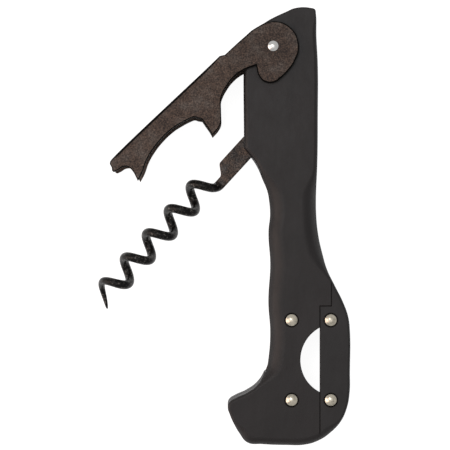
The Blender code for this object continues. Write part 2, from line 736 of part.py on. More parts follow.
def make_worm_pivot():
    blunt = WORM_PIN - WORM_PIN_CHAMFER
    shoulder = WORM_PIN_HALF - WORM_PIN_CHAMFER
    half = [(0, WORM_PIN_HALF), (blunt, WORM_PIN_HALF), (WORM_PIN, shoulder)]
    profile = half + [(radius, -height) for radius, height in reversed(half)]
    pin = turned("worm_pivot_pin", profile, 20, GUIDE_STEEL)
    pin.location = Vector((*WORM_PIVOT, MID)) * MM
    inner, outer = WORM_PIN + HOLE_CLEARANCE, WASHER_RADIUS
    ring = [(inner, WASHER), (outer, WASHER + WASHER_DISH), (outer, WASHER_DISH), (inner, 0.0)]
    for name, side in (("front_friction_washer", 1), ("back_friction_washer", -1)):
        washer = turned(name, ring, 24, SPRING_STEEL)
        washer.location = Vector((*WORM_PIVOT, MID + side * (HALF_TANG_THICK + SEAT_GAP))) * MM
        washer.rotation_euler = (0.0 if side > 0 else math.pi, 0.0, 0.0)


# ---------------------------------------------------------------- foil cutter


def make_wheels():
    half = [
        (WHEEL_RIVET + HOLE_CLEARANCE, WHEEL_HUB_HALF),
        (WHEEL_HUB, WHEEL_HUB_HALF),
        (WHEEL_WEB, WHEEL_WEB_HALF),
        (WHEEL_RADIUS, WHEEL_EDGE_HALF),
    ]
    profile = half + [(radius, -height) for radius, height in reversed(half)]
    half_grip = HALF_HANDLE - COUNTERBORE_DEPTH + SEAT_GAP
    head = (WHEEL_RIVET_HEAD, half_grip, WHEEL_RIVET_RISE)
    for side, x in zip(("handle", "jaw"), WHEEL_X):
        for label, y in WHEEL_Y.items():
            name = f"{label}_{side}"
            rivet(f"{name}_wheel_rivet", (x, y), WHEEL_RIVET, *head, RIVET_NICKEL)
            wheel = turned(f"{name}_cutting_wheel", profile, 24, WHEEL_STEEL)
            wheel.location = Vector((x, y, MID)) * MM


def along_x(obj, y):
    """Lays a turned piece along X, its local +Z to +X."""
    obj.location = Vector((0.0, y, MID)) * MM
    obj.rotation_euler = (0.0, math.pi / 2, 0.0)


def make_guides():
    blunt = ROD - ROD_CHAMFER
    low, high = UPPER_ROD_SPAN
    upper = [(0, high), (blunt, high), (ROD, high - ROD_CHAMFER)]
    upper += [(ROD, low + ROD_CHAMFER), (blunt, low), (0, low)]
    along_x(turned("upper_guide_rod", upper, 16, GUIDE_STEEL), UPPER_ROD)

    low, high = LOWER_ROD_SPAN
    clip_low, clip_high = CLIP
    under_head = high - ROD_HEAD_THICK
    groove_low, groove_high = clip_low - SEAT_GAP, clip_high + SEAT_GAP
    lower = [(0, high), (ROD_HEAD, high), (ROD_HEAD, under_head), (ROD, under_head)]
    lower += [(ROD, groove_high), (CLIP_GROOVE, groove_high), (CLIP_GROOVE, groove_low), (ROD, groove_low)]
    lower += [(blunt, low), (0, low)]
    along_x(turned("lower_guide_rod", lower, 16, GUIDE_STEEL), LOWER_ROD)

    inner, outer = CLIP_GROOVE + CLIP_FIT, CLIP_RADIUS
    ring = [(inner, clip_high), (outer, clip_high), (outer, clip_low), (inner, clip_low)]
    clip = turned("spring_retainer_clip", ring, 24, SPRING_STEEL)
    along_x(clip, LOWER_ROD)
    half_mouth = CLIP_GROOVE - CLIP_FIT
    mouth = box_cutter(
        "clip_mouth",
        (clip_low - OVERRUN, LOWER_ROD - half_mouth, MID - CLIP_RADIUS - OVERRUN),
        (clip_high + OVERRUN, LOWER_ROD + half_mouth, MID),
    )
    cut(clip, [mouth])


def make_spring():
    """The coil that pulls the jaw shut: it pushes the clip on the rod's end away from the cutter."""
    low, high = SPRING_END, SPRING_POCKET[1] - SPRING_WIRE - SEAT_GAP
    per_turn = 9
    count = SPRING_TURNS * per_turn
    curve = bpy.data.curves.new("jaw_return_spring", "CURVE")
    curve.dimensions = "3D"
    curve.bevel_depth = SPRING_WIRE * MM
    curve.bevel_resolution = 1
    curve.use_fill_caps = True
    spline = curve.splines.new("POLY")
    spline.points.add(count)
    for k, point in enumerate(spline.points):
        turn = 2 * math.pi * k / per_turn
        x = low + (high - low) * k / count
        across = Vector((math.cos(turn), math.sin(turn))) * SPRING_RADIUS
        point.co = (x * MM, across.x * MM, across.y * MM, 1.0)
    spring = add_object("jaw_return_spring", mesh_of_curve("jaw_return_spring", curve), SPRING_STEEL)
    spring.location = Vector((0.0, LOWER_ROD, MID)) * MM


# ---------------------------------------------------------------- assembly


def settle_on_origin():
    """Hangs every piece and cutter on one empty, which puts the bottom centre of the whole on the origin."""
    root = bpy.data.objects.new("waiters_corkscrew_root", None)
    PARTS.objects.link(root)
    graph = bpy.context.evaluated_depsgraph_get()
    corners = []
    for obj in PARTS.objects:
        if obj.type == "MESH":
            whole = obj.evaluated_get(graph)
            corners += [whole.matrix_world @ vertex.co for vertex in whole.data.vertices]
    low = Vector([min(corner[k] for corner in corners) for k in range(3)])
    high = Vector([max(corner[k] for corner in corners) for k in range(3)])
    for obj in [*PARTS.objects, *CUTTERS.objects]:
        if obj is not root:
            obj.parent = root
    root.location = (-(low.x + high.x) / 2, -(low.y + high.y) / 2, -low.z)
    print("moved by, mm:", [round(value / MM, 4) for value in root.location])


def shade_smooth():
    for obj in PARTS.objects:
        if obj.type == "MESH":
            obj.data.shade_smooth()
            obj.data.set_sharp_from_angle(angle=math.radians(SOFT_ANGLE))


BODY_POINTS = outline_points(BODY_OUTLINE, 3)
make_handle()
make_jaw()
make_lever()
make_lever_rivet()
make_worm()
make_worm_pivot()
make_wheels()
make_guides()
make_spring()
shade_smooth()
settle_on_origin()
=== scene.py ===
"""The waiter's corkscrew as it looks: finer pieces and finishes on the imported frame.

Lengths are in millimetres on the design's own axes, and SHIFT and MM place them in the frame.
"""

import json
import math

import bmesh
import bpy
from mathutils import Matrix, Vector


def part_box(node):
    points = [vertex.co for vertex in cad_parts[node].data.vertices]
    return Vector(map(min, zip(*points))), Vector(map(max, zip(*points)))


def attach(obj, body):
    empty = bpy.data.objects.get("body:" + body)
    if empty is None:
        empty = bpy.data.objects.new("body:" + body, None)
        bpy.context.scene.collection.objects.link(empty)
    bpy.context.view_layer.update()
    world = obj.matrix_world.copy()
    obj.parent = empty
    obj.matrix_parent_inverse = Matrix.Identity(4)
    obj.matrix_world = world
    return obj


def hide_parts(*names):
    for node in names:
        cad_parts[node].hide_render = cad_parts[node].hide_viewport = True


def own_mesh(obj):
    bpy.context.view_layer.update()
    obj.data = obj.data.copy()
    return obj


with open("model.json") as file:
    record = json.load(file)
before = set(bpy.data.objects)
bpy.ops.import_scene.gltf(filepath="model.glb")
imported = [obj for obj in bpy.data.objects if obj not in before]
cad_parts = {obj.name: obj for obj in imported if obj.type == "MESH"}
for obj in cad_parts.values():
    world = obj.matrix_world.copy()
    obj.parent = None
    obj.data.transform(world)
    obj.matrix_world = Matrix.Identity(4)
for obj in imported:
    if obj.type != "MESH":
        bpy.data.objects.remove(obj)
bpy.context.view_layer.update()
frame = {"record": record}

MM = 0.001

# --- Thickness, from the floor up. The handle is symmetric about its parting plane. ---
MID = 8.0  # height of the parting plane
HALF_HANDLE = 5.75  # parting plane to the outer face of a shell
HALF_PARTING = 0.01  # each shell stops this far short of the parting plane
CHEEK_IN, CHEEK_OUT = 6.05, 7.3  # faces of a lever cheek, from the parting plane
SHEET = CHEEK_OUT - CHEEK_IN
BELOW, ABOVE = -2.0, 18.0  # heights that a cut right through the object runs between
HALF_THROUGH = 12.0  # and how far such a cut goes each way from the parting plane
LEVER_THROUGH, TANG_THROUGH = 9.0, 3.0  # the same for a cut through the lever or the tang alone
GAP = 0.3  # between solids that move on each other
SEAT_GAP = 0.1  # under a rivet's head
OVERRUN = 1.0  # how far a cut starts outside the solid it enters
BEYOND = 70.0  # clear of every piece, measured from the middle of the handle

# --- Fineness ---
HOLE_SIDES, PIN_SIDES, RIVET_SIDES, RING_SIDES, WHEEL_SIDES, WINDOW_SIDES = 40, 48, 56, 64, 72, 180
SHELL_STEPS, SHEET_STEPS, DOME_STEPS, RIM_STEPS = 9, 7, 12, 3  # across a rounded edge or a domed head
BODY_FINENESS, LEVER_FINENESS = 10, 8  # points between two of an outline's own
TURNED, MOULDED, FOLDED, FORGED, COILED = 30.0, 32.0, 34.0, 50.0, 60.0  # degrees that still shade smooth
FLAT_WEIGHT = 80  # how far the large faces set the normals

# --- Handle ---
EDGE_GRIP, EDGE_HEAD, EDGE_TIP, EDGE_CUTTER, EDGE_FOOT = 4.3, 1.2, 0.5, 0.8, 2.3  # edge roundings
GRIP_TOP = (16.0, 8.0)  # the grip's rounding grows between these, from the head down
FINGER_SIDE_END = (-38.0, -44.0)  # and fades between these on the hook's side
PALM_SIDE_END = (-6.0, -15.0)  # and between these on the jaw's side
PALM_SIDE = 20.0  # everything on the jaw's side of this counts as the palm's
FOOT = (-53.0, -57.0)  # the foot's rounding grows between these
HEAD_TIP = (54.0, 58.0)  # and the head's shrinks between these
HAIRLINE = 0.14  # chamfer along seams, windows and holes
LONGEST_MITRE = 1.6  # longest way in at a corner, as a share of the rounding's width

# --- Lever ---
LEVER_PIVOT = Vector((13.4, 49.35))
LEVER_ANGLE = 46.3
LEVER_BOX = (-12.0, 62.0), (-12.0, 15.0)  # the whole lever lies between these, along it and across
WEB_LINE, WEB_START = -8.14, 12.4  # outside of the folded web, and where it starts
WEB_END = (53.6, 51.8)  # the fold's rounding grows between these, from the toe up
LEVER_BEND = 0.95  # outside radius of the fold
FOLD_BLEND = 0.6  # how soon the fold's rounding is reached
SHEET_EDGE, EAR_EDGE = 0.42, 0.5  # rounding of the blanked edges
EAR_BLEND = (9.0, 4.0)  # the ear's edge rounding is reached between these
CORNER_MARGIN = 0.6  # no curve points closer than this to a sharp corner
LEVER_RIVET, LEVER_RIVET_HEAD, LEVER_RIVET_RISE = 1.05, 1.45, 0.6
HOLE_CLEARANCE = 0.25
RIVET_RIM = 0.12  # rounding round the foot of a rivet's head

# --- Worm ---
WORM_PIVOT = Vector((10.95, 26.95))
WORM_ANGLE = 42.4
WORM_OPEN = 72.0
WIRE, COIL, PITCH, TURNS = 1.24, 2.86, 9.06, 4.5
POINT, POINT_PITCH, TAPER, TIP = 4.76, 11.2, 7.7, 0.1
COIL_START, COIL_AXIS, LEAD = 20.57, -1.67, 3.0
TANG_LENGTH, HALF_TANG, HALF_TANG_THICK = 14.95, 2.76, 1.2
WORM_PIN, WORM_PIN_HALF, WORM_PIN_CHAMFER = 1.25, 4.4, 0.25
WASHER, WASHER_RADIUS, WASHER_DISH = 0.24, 2.61, 0.08
WASHER_SPACE = 0.4  # beyond a washer, so that its dish can be pressed flat
NECK_END, TANG_MARGIN = 20.4, 0.4
SLOT_MOUTH = 12.0  # how far the tang's slot is cut past the pivot, to clear the head's edge
LOWER_SHOULDER, UPPER_SHOULDER = (14.8, 17.9), (19.6, 22.0)  # where the tang narrows on each side
NECK = (16.5, 21.0)  # where its section goes from flat to round
FLAT_SECTION, ROUND_SECTION = 7.0, 2.0  # superellipse powers of the two sections

# --- Foil cutter ---
LIP_CENTRE = Vector((31.03, -36.6))
LIP_RECESS, LEDGE_RADIUS, LEDGE_THICK = 14.5, 10.1, 2.2
LIP_EASING, LIP_EASING_HALF = 0.8, 0.4  # the recess's mouth widens by the first over twice the second
TRAVEL = 14.25  # between the recess's two centres
SEAM, TONGUE_SEAM, TONGUE_LINE, HALF_SEAM = 26.29, 29.44, -21.76, 0.005
SEAM_GROOVE = 0.2
WHEEL_X = {"handle": 18.53, "jaw": 29.27}
WHEEL_RISE = 10.96  # of each wheel from the level of the bottle's centre
WHEEL_Y = {"upper": LIP_CENTRE.y + WHEEL_RISE, "lower": LIP_CENTRE.y - WHEEL_RISE}
WHEEL_RIVET, WHEEL_RIVET_HEAD, WHEEL_RIVET_RISE = 0.9, 1.62, 0.7
WHEEL_HUB, WHEEL_HUB_HALF = 1.6, 0.6  # radius, and half its thickness
WHEEL_WEB, WHEEL_WEB_HALF = 1.72, 0.42  # where the first bevel begins
WHEEL_BEVEL, WHEEL_BEVEL_HALF = 2.1, 0.26  # where the second one begins
WHEEL_RADIUS, WHEEL_EDGE_HALF = 2.6, 0.05
WHEEL_BORE_CHAMFER, WHEEL_HUB_CHAMFER = 0.08, 0.06
WHEEL_ROOM, WHEEL_ROOM_HALF = 2.95, 0.95
COUNTERBORE, COUNTERBORE_DEPTH = 1.95, 0.3
SEEN_DEPTH = 1.5  # of the counterbores, so that a dark ring stands round each rivet
ROD, ROD_CLEARANCE, ROD_CHAMFER = 1.0, 0.22, 0.2
UPPER_ROD, LOWER_ROD = -20.6, -53.2
UPPER_ROD_SPAN, LOWER_ROD_SPAN = (14.1, 31.0), (5.2, 29.75)
ROD_HEAD, ROD_HEAD_THICK, ROD_HEAD_CHAMFER = 1.6, 0.75, 0.1
CLIP_GROOVE, CLIP_RADIUS, CLIP = 0.7, 1.9, (6.12, 6.48)
CLIP_FIT = 0.15  # the clip's bore is this much wider than the groove, and its mouth narrower
SPRING_POCKET = (4.8, 24.2)
SPRING_RADIUS, SPRING_WIRE, SPRING_TURNS, SPRING_START = 1.55, 0.18, 6, 6.95
SPRING_EASE = 1.1  # share that the spring's bore is wider than the spring needs

# --- Stage ---
FLOOR, FLOOR_DROP, FLOOR_GLOW = 1500.0, 0.05, 0.92  # half its side, its depth and its light
SKY_GLOW = 0.5
LIGHTS = {  # place, size, power and colour
    "overhead": ((0, 0, 1000), (700, 700), 0.95, (1.0, 1.0, 1.0)),
    "key": ((-200, 230, 880), (220, 220), 1.3, (1.0, 1.0, 1.0)),
    "left": ((-900, -160, 520), (800, 1100), 6.0, (1.0, 0.78, 0.68)),
}
EYE, EYE_DISTANCE = (0.247, 0.439), 450.0  # where the camera is, and its height over the handle
VIEW_WIDTH = 123.345  # across the picture, at the handle's face
SENSOR = 36.0

CORNER, SMOOTH = "VECTOR", "AUTO"

# Silhouette of handle and closed jaw together, counter-clockwise from the head's lower front corner.
BODY_OUTLINE = [
    (5.55, 21.6, CORNER),
    (8.85, 17.4, SMOOTH),
    (10.95, 12.4, SMOOTH),
    (12.2, 7.7, SMOOTH),
    (12.65, 3.45, SMOOTH),
    (12.05, -1.5, SMOOTH),
    (12.72, -10.5, SMOOTH),
    (12.0, -21.0, SMOOTH),
    (12.7, -29.3, SMOOTH),
    (12.2, -35.9, SMOOTH),
    (11.1, -40.3, SMOOTH),
    (9.25, -43.45, SMOOTH),
    (6.2, -45.7, SMOOTH),
    (3.05, -47.15, SMOOTH),
    (1.45, -48.25, SMOOTH),
    (1.0, -49.5, SMOOTH),
    (1.6, -51.7, SMOOTH),
    (2.7, -54.2, SMOOTH),
    (4.2, -56.9, SMOOTH),
    (6.4, -59.45, SMOOTH),
    (10.5, -59.9, SMOOTH),
    (17.0, -60.15, SMOOTH),
    (22.2, -60.05, SMOOTH),
    (25.9, -58.95, SMOOTH),
    (29.25, -56.75, SMOOTH),
    (31.95, -53.65, SMOOTH),
    (33.68, -49.9, SMOOTH),
    (34.47, -45.5, SMOOTH),
    (34.54, -40.0, SMOOTH),
    (34.54, -28.5, SMOOTH),
    (34.1, -24.8, SMOOTH),
    (32.65, -20.7, SMOOTH),
    (30.45, -16.3, SMOOTH),
    (28.4, -12.0, SMOOTH),
    (27.15, -7.4, SMOOTH),
    (26.1, -2.6, SMOOTH),
    (25.5, 3.0, SMOOTH),
    (25.45, 10.5, SMOOTH),
    (25.7, 21.0, SMOOTH),
    (25.75, 30.0, SMOOTH),
    (25.75, 44.5, SMOOTH),
    (25.38, 52.0, SMOOTH),
    (25.2, 58.5, SMOOTH),
    (24.95, 59.6, SMOOTH),
    (23.9, 60.0, SMOOTH),
    (19.6, 60.0, SMOOTH),
    (17.2, 59.05, SMOOTH),
    (10.4, 55.5, SMOOTH),
    (7.25, 52.7, SMOOTH),
    (5.85, 50.2, SMOOTH),
    (5.55, 47.3, SMOOTH),
]

# Side view of the lever: s along it from its pivot, p across it towards the worm.
LEVER_OUTLINE = [
    (-7.0, 0.0, SMOOTH),
    (-4.84, -4.84, SMOOTH),
    (0.0, -6.9, SMOOTH),
    (4.3, -7.25, SMOOTH),
    (11.2, -7.4, CORNER),
    (WEB_START, WEB_LINE, CORNER),
    (53.2, WEB_LINE, SMOOTH),
    (54.4, -7.7, SMOOTH),
    (54.8, -6.6, SMOOTH),
    (55.35, -5.4, SMOOTH),
    (54.5, -4.9, SMOOTH),
    (52.5, -4.4, SMOOTH),
    (51.5, -3.45, SMOOTH),
    (51.4, -1.7, SMOOTH),
    (51.85, 0.0, SMOOTH),
    (52.2, 1.1, CORNER),
    (49.9, 0.35, SMOOTH),
    (46.7, -1.2, SMOOTH),
    (43.5, -2.15, SMOOTH),
    (39.7, -2.7, SMOOTH),
    (35.6, -2.65, SMOOTH),
    (32.7, -2.1, SMOOTH),
    (30.3, -1.4, SMOOTH),
    (29.1, -0.85, SMOOTH),
    (28.55, 0.05, SMOOTH),
    (27.9, 0.9, CORNER),
    (28.15, 2.4, SMOOTH),
    (28.5, 4.65, SMOOTH),
    (28.9, 6.15, CORNER),
    (26.1, 5.85, SMOOTH),
    (24.7, 5.25, SMOOTH),
    (23.1, 3.6, SMOOTH),
    (21.5, 1.85, SMOOTH),
    (20.4, 0.7, SMOOTH),
    (18.8, -0.15, SMOOTH),
    (16.75, -0.8, SMOOTH),
    (14.05, -1.25, SMOOTH),
    (10.7, -0.95, SMOOTH),
    (6.95, 0.55, CORNER),
    (8.45, 3.35, SMOOTH),
    (8.3, 5.6, SMOOTH),
    (6.5, 7.4, SMOOTH),
    (4.5, 7.75, SMOOTH),
    (1.4, 7.7, SMOOTH),
    (-1.45, 7.1, SMOOTH),
    (-5.0, 5.0, SMOOTH),
]

pivot_low, pivot_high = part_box("lever_pivot_rivet")
SHIFT = (pivot_low + pivot_high) / 2 / MM - Vector((*LEVER_PIVOT, MID))
BODY_OF = {
    name: body for body, names in frame["record"]["behaviour"]["bodies"].items() for name in names
}
SLOT_OF = {part["node"]: part["material_slot"] for part in frame["record"]["subparts"]}


# ---------------------------------------------------------------- node materials

CHARCOAL, JAW_CHARCOAL = (0.0132, 0.0108, 0.0110), (0.0132, 0.0116, 0.0119)
# Dark, brown and grey of each coat.
LEVER_COAT = (0.018, 0.011, 0.009), (0.088, 0.054, 0.038), (0.076, 0.057, 0.047)
TANG_COAT = (0.009, 0.006, 0.005), (0.078, 0.052, 0.039), (0.060, 0.053, 0.050)
# Painted shade, near black, for the lever's rounded edges and the inside of its web.
EDGE_PAINTED_SHADE = [(0.4, (0.002, 0.0018, 0.0018)), (0.6, (0.005, 0.0045, 0.0045))]
# The worm wire's near black, and light specks painted on it as glints.
WIRE_AND_PAINTED_GLINTS = [(0.48, (0.002, 0.0017, 0.0017)), (0.58, (0.012, 0.010, 0.009)), (0.68, (0.13, 0.12, 0.11))]
SPECKLE_SHARE = 0.72  # of fine speckle in a coat, the rest being clouds
FACE_TURN = (0.2, 0.75)  # a shell's face begins between these shares of facing straight up or down; the rounding short of it is darkened with painted shade
WALL_TURN, WALL_FACE_SHARE = (0.03, 0.14), 0.5  # its upright wall ends between these, and keeps this share of the face's colour and shine, the rest being painted shade
SHEET_TURN = (0.93, 0.99)  # a sheet's flat begins between these; short of it the sheet's edges get painted shade
EAR_SHADE, EAR_SHADED = -0.035, (7.0, 17.0)  # the lever is darker at its pivot, as far as these
WIRE_BEGINS = (17.5, 20.5)  # distances from the worm's pivot between which the tang's finish gives way


def new_material(name, roughness, metallic=0.0, specular=0.5):
    """A material, its node tree and its shader. Constants are set on the shader's own sockets."""
    made = bpy.data.materials.new(name)
    made.use_nodes = True
    tree = made.node_tree
    shader = tree.nodes["Principled BSDF"]
    shader.inputs["Roughness"].default_value = roughness
    shader.inputs["Metallic"].default_value = metallic
    shader.inputs["Specular IOR Level"].default_value = specular
    return made, tree, shader


def object_point(tree, stretch=(1, 1, 1), turn=0.0):
    """Object coordinates in millimetres, turned about Z, then stretched."""
    where = tree.nodes.new("ShaderNodeTexCoord")
    turned_point = tree.nodes.new("ShaderNodeMapping")
    turned_point.inputs["Rotation"].default_value = (0.0, 0.0, turn)
    turned_point.inputs["Scale"].default_value = [1 / MM] * 3
    tree.links.new(where.outputs["Object"], turned_point.inputs["Vector"])
    scaled = tree.nodes.new("ShaderNodeMapping")
    scaled.inputs["Scale"].default_value = stretch
    tree.links.new(turned_point.outputs["Vector"], scaled.inputs["Vector"])
    return scaled.outputs["Vector"]


def noise(tree, point, scale, detail=4.0, roughness=0.6):
    node = tree.nodes.new("ShaderNodeTexNoise")
    node.inputs["Scale"].default_value = scale
    node.inputs["Detail"].default_value = detail
    node.inputs["Roughness"].default_value = roughness
    tree.links.new(point, node.inputs["Vector"])
    return node.outputs["Fac"]


def spread(tree, value, low, high, start=0.3, end=0.7):
    """Maps a value between start and end onto low to high."""
    node = tree.nodes.new("ShaderNodeMapRange")
    node.inputs["From Min"].default_value = start
    node.inputs["From Max"].default_value = end
    node.inputs["To Min"].default_value = low
    node.inputs["To Max"].default_value = high
    tree.links.new(value, node.inputs["Value"])
    return node.outputs["Result"]


def joined(tree, operation, first, second):
    node = tree.nodes.new("ShaderNodeMath")
    node.operation = operation
    for socket, value in zip(node.inputs, (first, second)):
        if isinstance(value, (int, float)):
            socket.default_value = value
        else:
            tree.links.new(value, socket)
    return node.outputs["Value"]


def ramp(tree, value, stops):
    """A colour ramp of (position, (r, g, b)) stops."""
    node = tree.nodes.new("ShaderNodeValToRGB")
    elements = node.color_ramp.elements
    while len(elements) < len(stops):
        elements.new(0.5)
    for element, (position, colour) in zip(elements, stops):
        element.position = position
        element.color = (*colour, 1.0)
    tree.links.new(value, node.inputs["Fac"])
    return node.outputs["Color"]


def bump(tree, shader, height, distance, under=None):
    """Raises the surface by a height map, on top of the relief under it."""
    node = tree.nodes.new("ShaderNodeBump")
    node.inputs["Strength"].default_value = 1.0
    node.inputs["Distance"].default_value = distance * MM
    tree.links.new(height, node.inputs["Height"])
    if under:
        tree.links.new(under, node.inputs["Normal"])
    tree.links.new(node.outputs["Normal"], shader.inputs["Normal"])
    return node.outputs["Normal"]


def blended(tree, share, first, second):
    """First colour where share is 0, second where it is 1."""
    node = tree.nodes.new("ShaderNodeMix")
    node.data_type = "RGBA"
    tree.links.new(share, node.inputs["Factor"])
    tree.links.new(first, node.inputs["A"])
    tree.links.new(second, node.inputs["B"])
    return node.outputs["Result"]


def tint(colour, factor):
    return tuple(channel * factor for channel in colour)


def off_the_rounding(tree):
    """1 on flat faces, part of it on upright walls, and 0 on the rounded edges between them: the share of
    the face's own colour kept against painted shade.
    """
    where = tree.nodes.new("ShaderNodeTexCoord")
    parts = tree.nodes.new("ShaderNodeSeparateXYZ")
    tree.links.new(where.outputs["Normal"], parts.inputs["Vector"])
    upright = joined(tree, "ABSOLUTE", parts.outputs["Z"], 0.0)
    face = spread(tree, upright, 0.0, 1.0, *FACE_TURN)
    wall = spread(tree, upright, WALL_FACE_SHARE, 0.0, *WALL_TURN)
    return joined(tree, "MAXIMUM", face, wall)


def moulded_plastic(name, colour, seed):
    """Satin moulded plastic: a fine spark-eroded grain, faint flow streaks, and painted shade that darkens
    the rounded edges and walls, which also shine less.
    """
    made, tree, shader = new_material(name, 0.5)
    facing = off_the_rounding(tree)
    tree.links.new(spread(tree, facing, 0.0, 0.33, 0.0, 1.0), shader.inputs["Specular IOR Level"])
    point = object_point(tree)
    cloud = noise(tree, object_point(tree, (0.05, 0.02, 0.05), seed), 2.0, 5.0, 0.62)
    streaks = noise(tree, object_point(tree, (0.9, 0.035, 0.4), 0.05 * seed), 1.0, 3.0, 0.5)
    grain = noise(tree, point, 3.4, 3.0, 0.7)
    shade = joined(tree, "MULTIPLY", cloud, 0.6)
    shade = joined(tree, "ADD", shade, joined(tree, "MULTIPLY", streaks, 0.25))
    shade = joined(tree, "ADD", shade, joined(tree, "MULTIPLY", grain, 0.15))
    face = ramp(tree, shade, [(0.36, tint(colour, 0.82)), (0.5, colour), (0.66, tint(colour, 1.22))])
    # painted shade: a darker copy of the colour for the rounded edges and walls
    dull = ramp(tree, shade, [(0.36, tint(colour, 0.4)), (0.66, tint(colour, 0.6))])
    tree.links.new(blended(tree, facing, dull, face), shader.inputs["Base Color"])
    wear = noise(tree, object_point(tree, (0.25, 0.12, 0.25)), 1.3, 6.0, 0.7)
    rough = joined(tree, "ADD", spread(tree, wear, 0.43, 0.56), spread(tree, grain, -0.03, 0.05))
    tree.links.new(rough, shader.inputs["Roughness"])
    sparks = bump(tree, shader, grain, 0.022)
    bump(tree, shader, noise(tree, point, 0.55, 2.0), 0.03, under=sparks)
    return made


def squareness(tree, pivot_angle):
    """1 on a folded sheet's cheeks and on the outside of its web, and 0 round its edges, where painted shade
    goes.
    """
    where = tree.nodes.new("ShaderNodeTexCoord")
    own = tree.nodes.new("ShaderNodeMapping")
    own.inputs["Rotation"].default_value = (0.0, 0.0, math.radians(90.0 + pivot_angle))
    tree.links.new(where.outputs["Normal"], own.inputs["Vector"])
    parts = tree.nodes.new("ShaderNodeSeparateXYZ")
    tree.links.new(own.outputs["Vector"], parts.inputs["Vector"])
    upright = joined(tree, "ABSOLUTE", parts.outputs["Z"], 0.0)
    outward = joined(tree, "MULTIPLY", parts.outputs["Y"], -1.0)
    return spread(tree, joined(tree, "MAXIMUM", upright, outward), 0.0, 1.0, *SHEET_TURN)


def coat_colour(tree, mixed, tone, dark, brown, grey):
    """A mottled coat: speckled from dark to light, and its light brown in some places and grey in others."""
    shades = []
    for light in (brown, grey):
        stops = [(0.4, dark), (0.49, tint(light, 0.66)), (0.56, light), (0.66, tint(light, 1.9))]
        shades.append(ramp(tree, mixed, stops))
    return blended(tree, tone, *shades)


def speckled(tree, point, scale, cloud_scale):
    """Fine speckle, and the same with larger clouds in it."""
    speckle = noise(tree, point, scale, 3.0, 0.75)
    cloud = noise(tree, point, cloud_scale, 4.0, 0.6)
    fine = joined(tree, "MULTIPLY", speckle, SPECKLE_SHARE)
    return speckle, joined(tree, "ADD", fine, joined(tree, "MULTIPLY", cloud, 1 - SPECKLE_SHARE))


def distance_from(tree, pivot):
    """Distance in millimetres from the middle of a pivot."""
    away = tree.nodes.new("ShaderNodeVectorMath")
    away.operation = "DISTANCE"
    away.inputs[1].default_value = Vector((*pivot, MID)) + SHIFT
    tree.links.new(object_point(tree), away.inputs[0])
    return away.outputs["Value"]


def lever_coating():
    """Sheet steel under a rough brown-black coat, darker round the pivot, with painted shade making its
    edges and the inside of its web near black.
    """
    made, tree, shader = new_material("lever_coating", 0.6, 0.2, 0.4)
    point = object_point(tree)
    speckle, mixed = speckled(tree, point, 2.4, 0.22)
    shade = spread(tree, distance_from(tree, LEVER_PIVOT), EAR_SHADE, 0.0, *EAR_SHADED)
    mixed = joined(tree, "ADD", mixed, shade)
    tone = spread(tree, noise(tree, point, 0.22, 3.0, 0.6), 0.0, 1.0, 0.44, 0.62)
    coat = coat_colour(tree, mixed, tone, *LEVER_COAT)
    # painted shade: near black on the rounded edges and the inside of the web
    edge = ramp(tree, mixed, EDGE_PAINTED_SHADE)
    flat = squareness(tree, LEVER_ANGLE)
    tree.links.new(blended(tree, flat, edge, coat), shader.inputs["Base Color"])
    tree.links.new(spread(tree, flat, 0.04, 0.4, 0.0, 1.0), shader.inputs["Specular IOR Level"])
    tree.links.new(spread(tree, mixed, 0.7, 0.5, 0.35, 0.65), shader.inputs["Roughness"])
    grain = bump(tree, shader, speckle, 0.06)
    bump(tree, shader, noise(tree, point, 5.0, 2.0), 0.02, under=grain)
    return made


def worm_coating():
    """Forged steel: the tang mottled like the lever, the wire glossier and near black, with light specks
    painted on as glints.
    """
    made, tree, shader = new_material("worm_coating", 0.4, 0.2, 0.4)
    point = object_point(tree)
    speckle, mixed = speckled(tree, point, 2.6, 0.5)
    tone = spread(tree, noise(tree, point, 0.4, 3.0, 0.6), 0.0, 1.0, 0.44, 0.62)
    tang = coat_colour(tree, spread(tree, mixed, 0.2, 0.8), tone, *TANG_COAT)
    specks = noise(tree, point, 1.5, 3.0, 0.7)
    # painted glints: the brightest specks of the wire's colour stand for highlights
    wire = ramp(tree, specks, WIRE_AND_PAINTED_GLINTS)
    on_wire = spread(tree, distance_from(tree, WORM_PIVOT), 0.0, 1.0, *WIRE_BEGINS)
    tree.links.new(blended(tree, on_wire, tang, wire), shader.inputs["Base Color"])
    tree.links.new(spread(tree, on_wire, 0.6, 0.33, 0.0, 1.0), shader.inputs["Roughness"])
    tree.links.new(spread(tree, on_wire, 0.4, 0.22, 0.0, 1.0), shader.inputs["Specular IOR Level"])
    grain = bump(tree, shader, speckle, 0.04)
    bump(tree, shader, specks, 0.05, under=grain)
    return made


def bare_metal(name, colour, roughness, scratches=(1.0, 1.0, 1.0), tarnish=0.75):
    """Plated or ground metal: fine scratches, a little tarnish, and dull patches."""
    made, tree, shader = new_material(name, roughness, 1.0)
    point = object_point(tree)
    patches = noise(tree, point, 0.9, 5.0, 0.65)
    lines = noise(tree, object_point(tree, scratches), 6.0, 3.0, 0.55)
    stops = [(0.3, tint(colour, tarnish)), (0.5, colour), (0.72, tint(colour, 1.12))]
    tree.links.new(ramp(tree, patches, stops), shader.inputs["Base Color"])
    dull = spread(tree, patches, roughness + 0.1, roughness - 0.05)
    rough = joined(tree, "ADD", dull, spread(tree, lines, -0.04, 0.06))
    tree.links.new(rough, shader.inputs["Roughness"])
    bump(tree, shader, lines, 0.004)
    return made


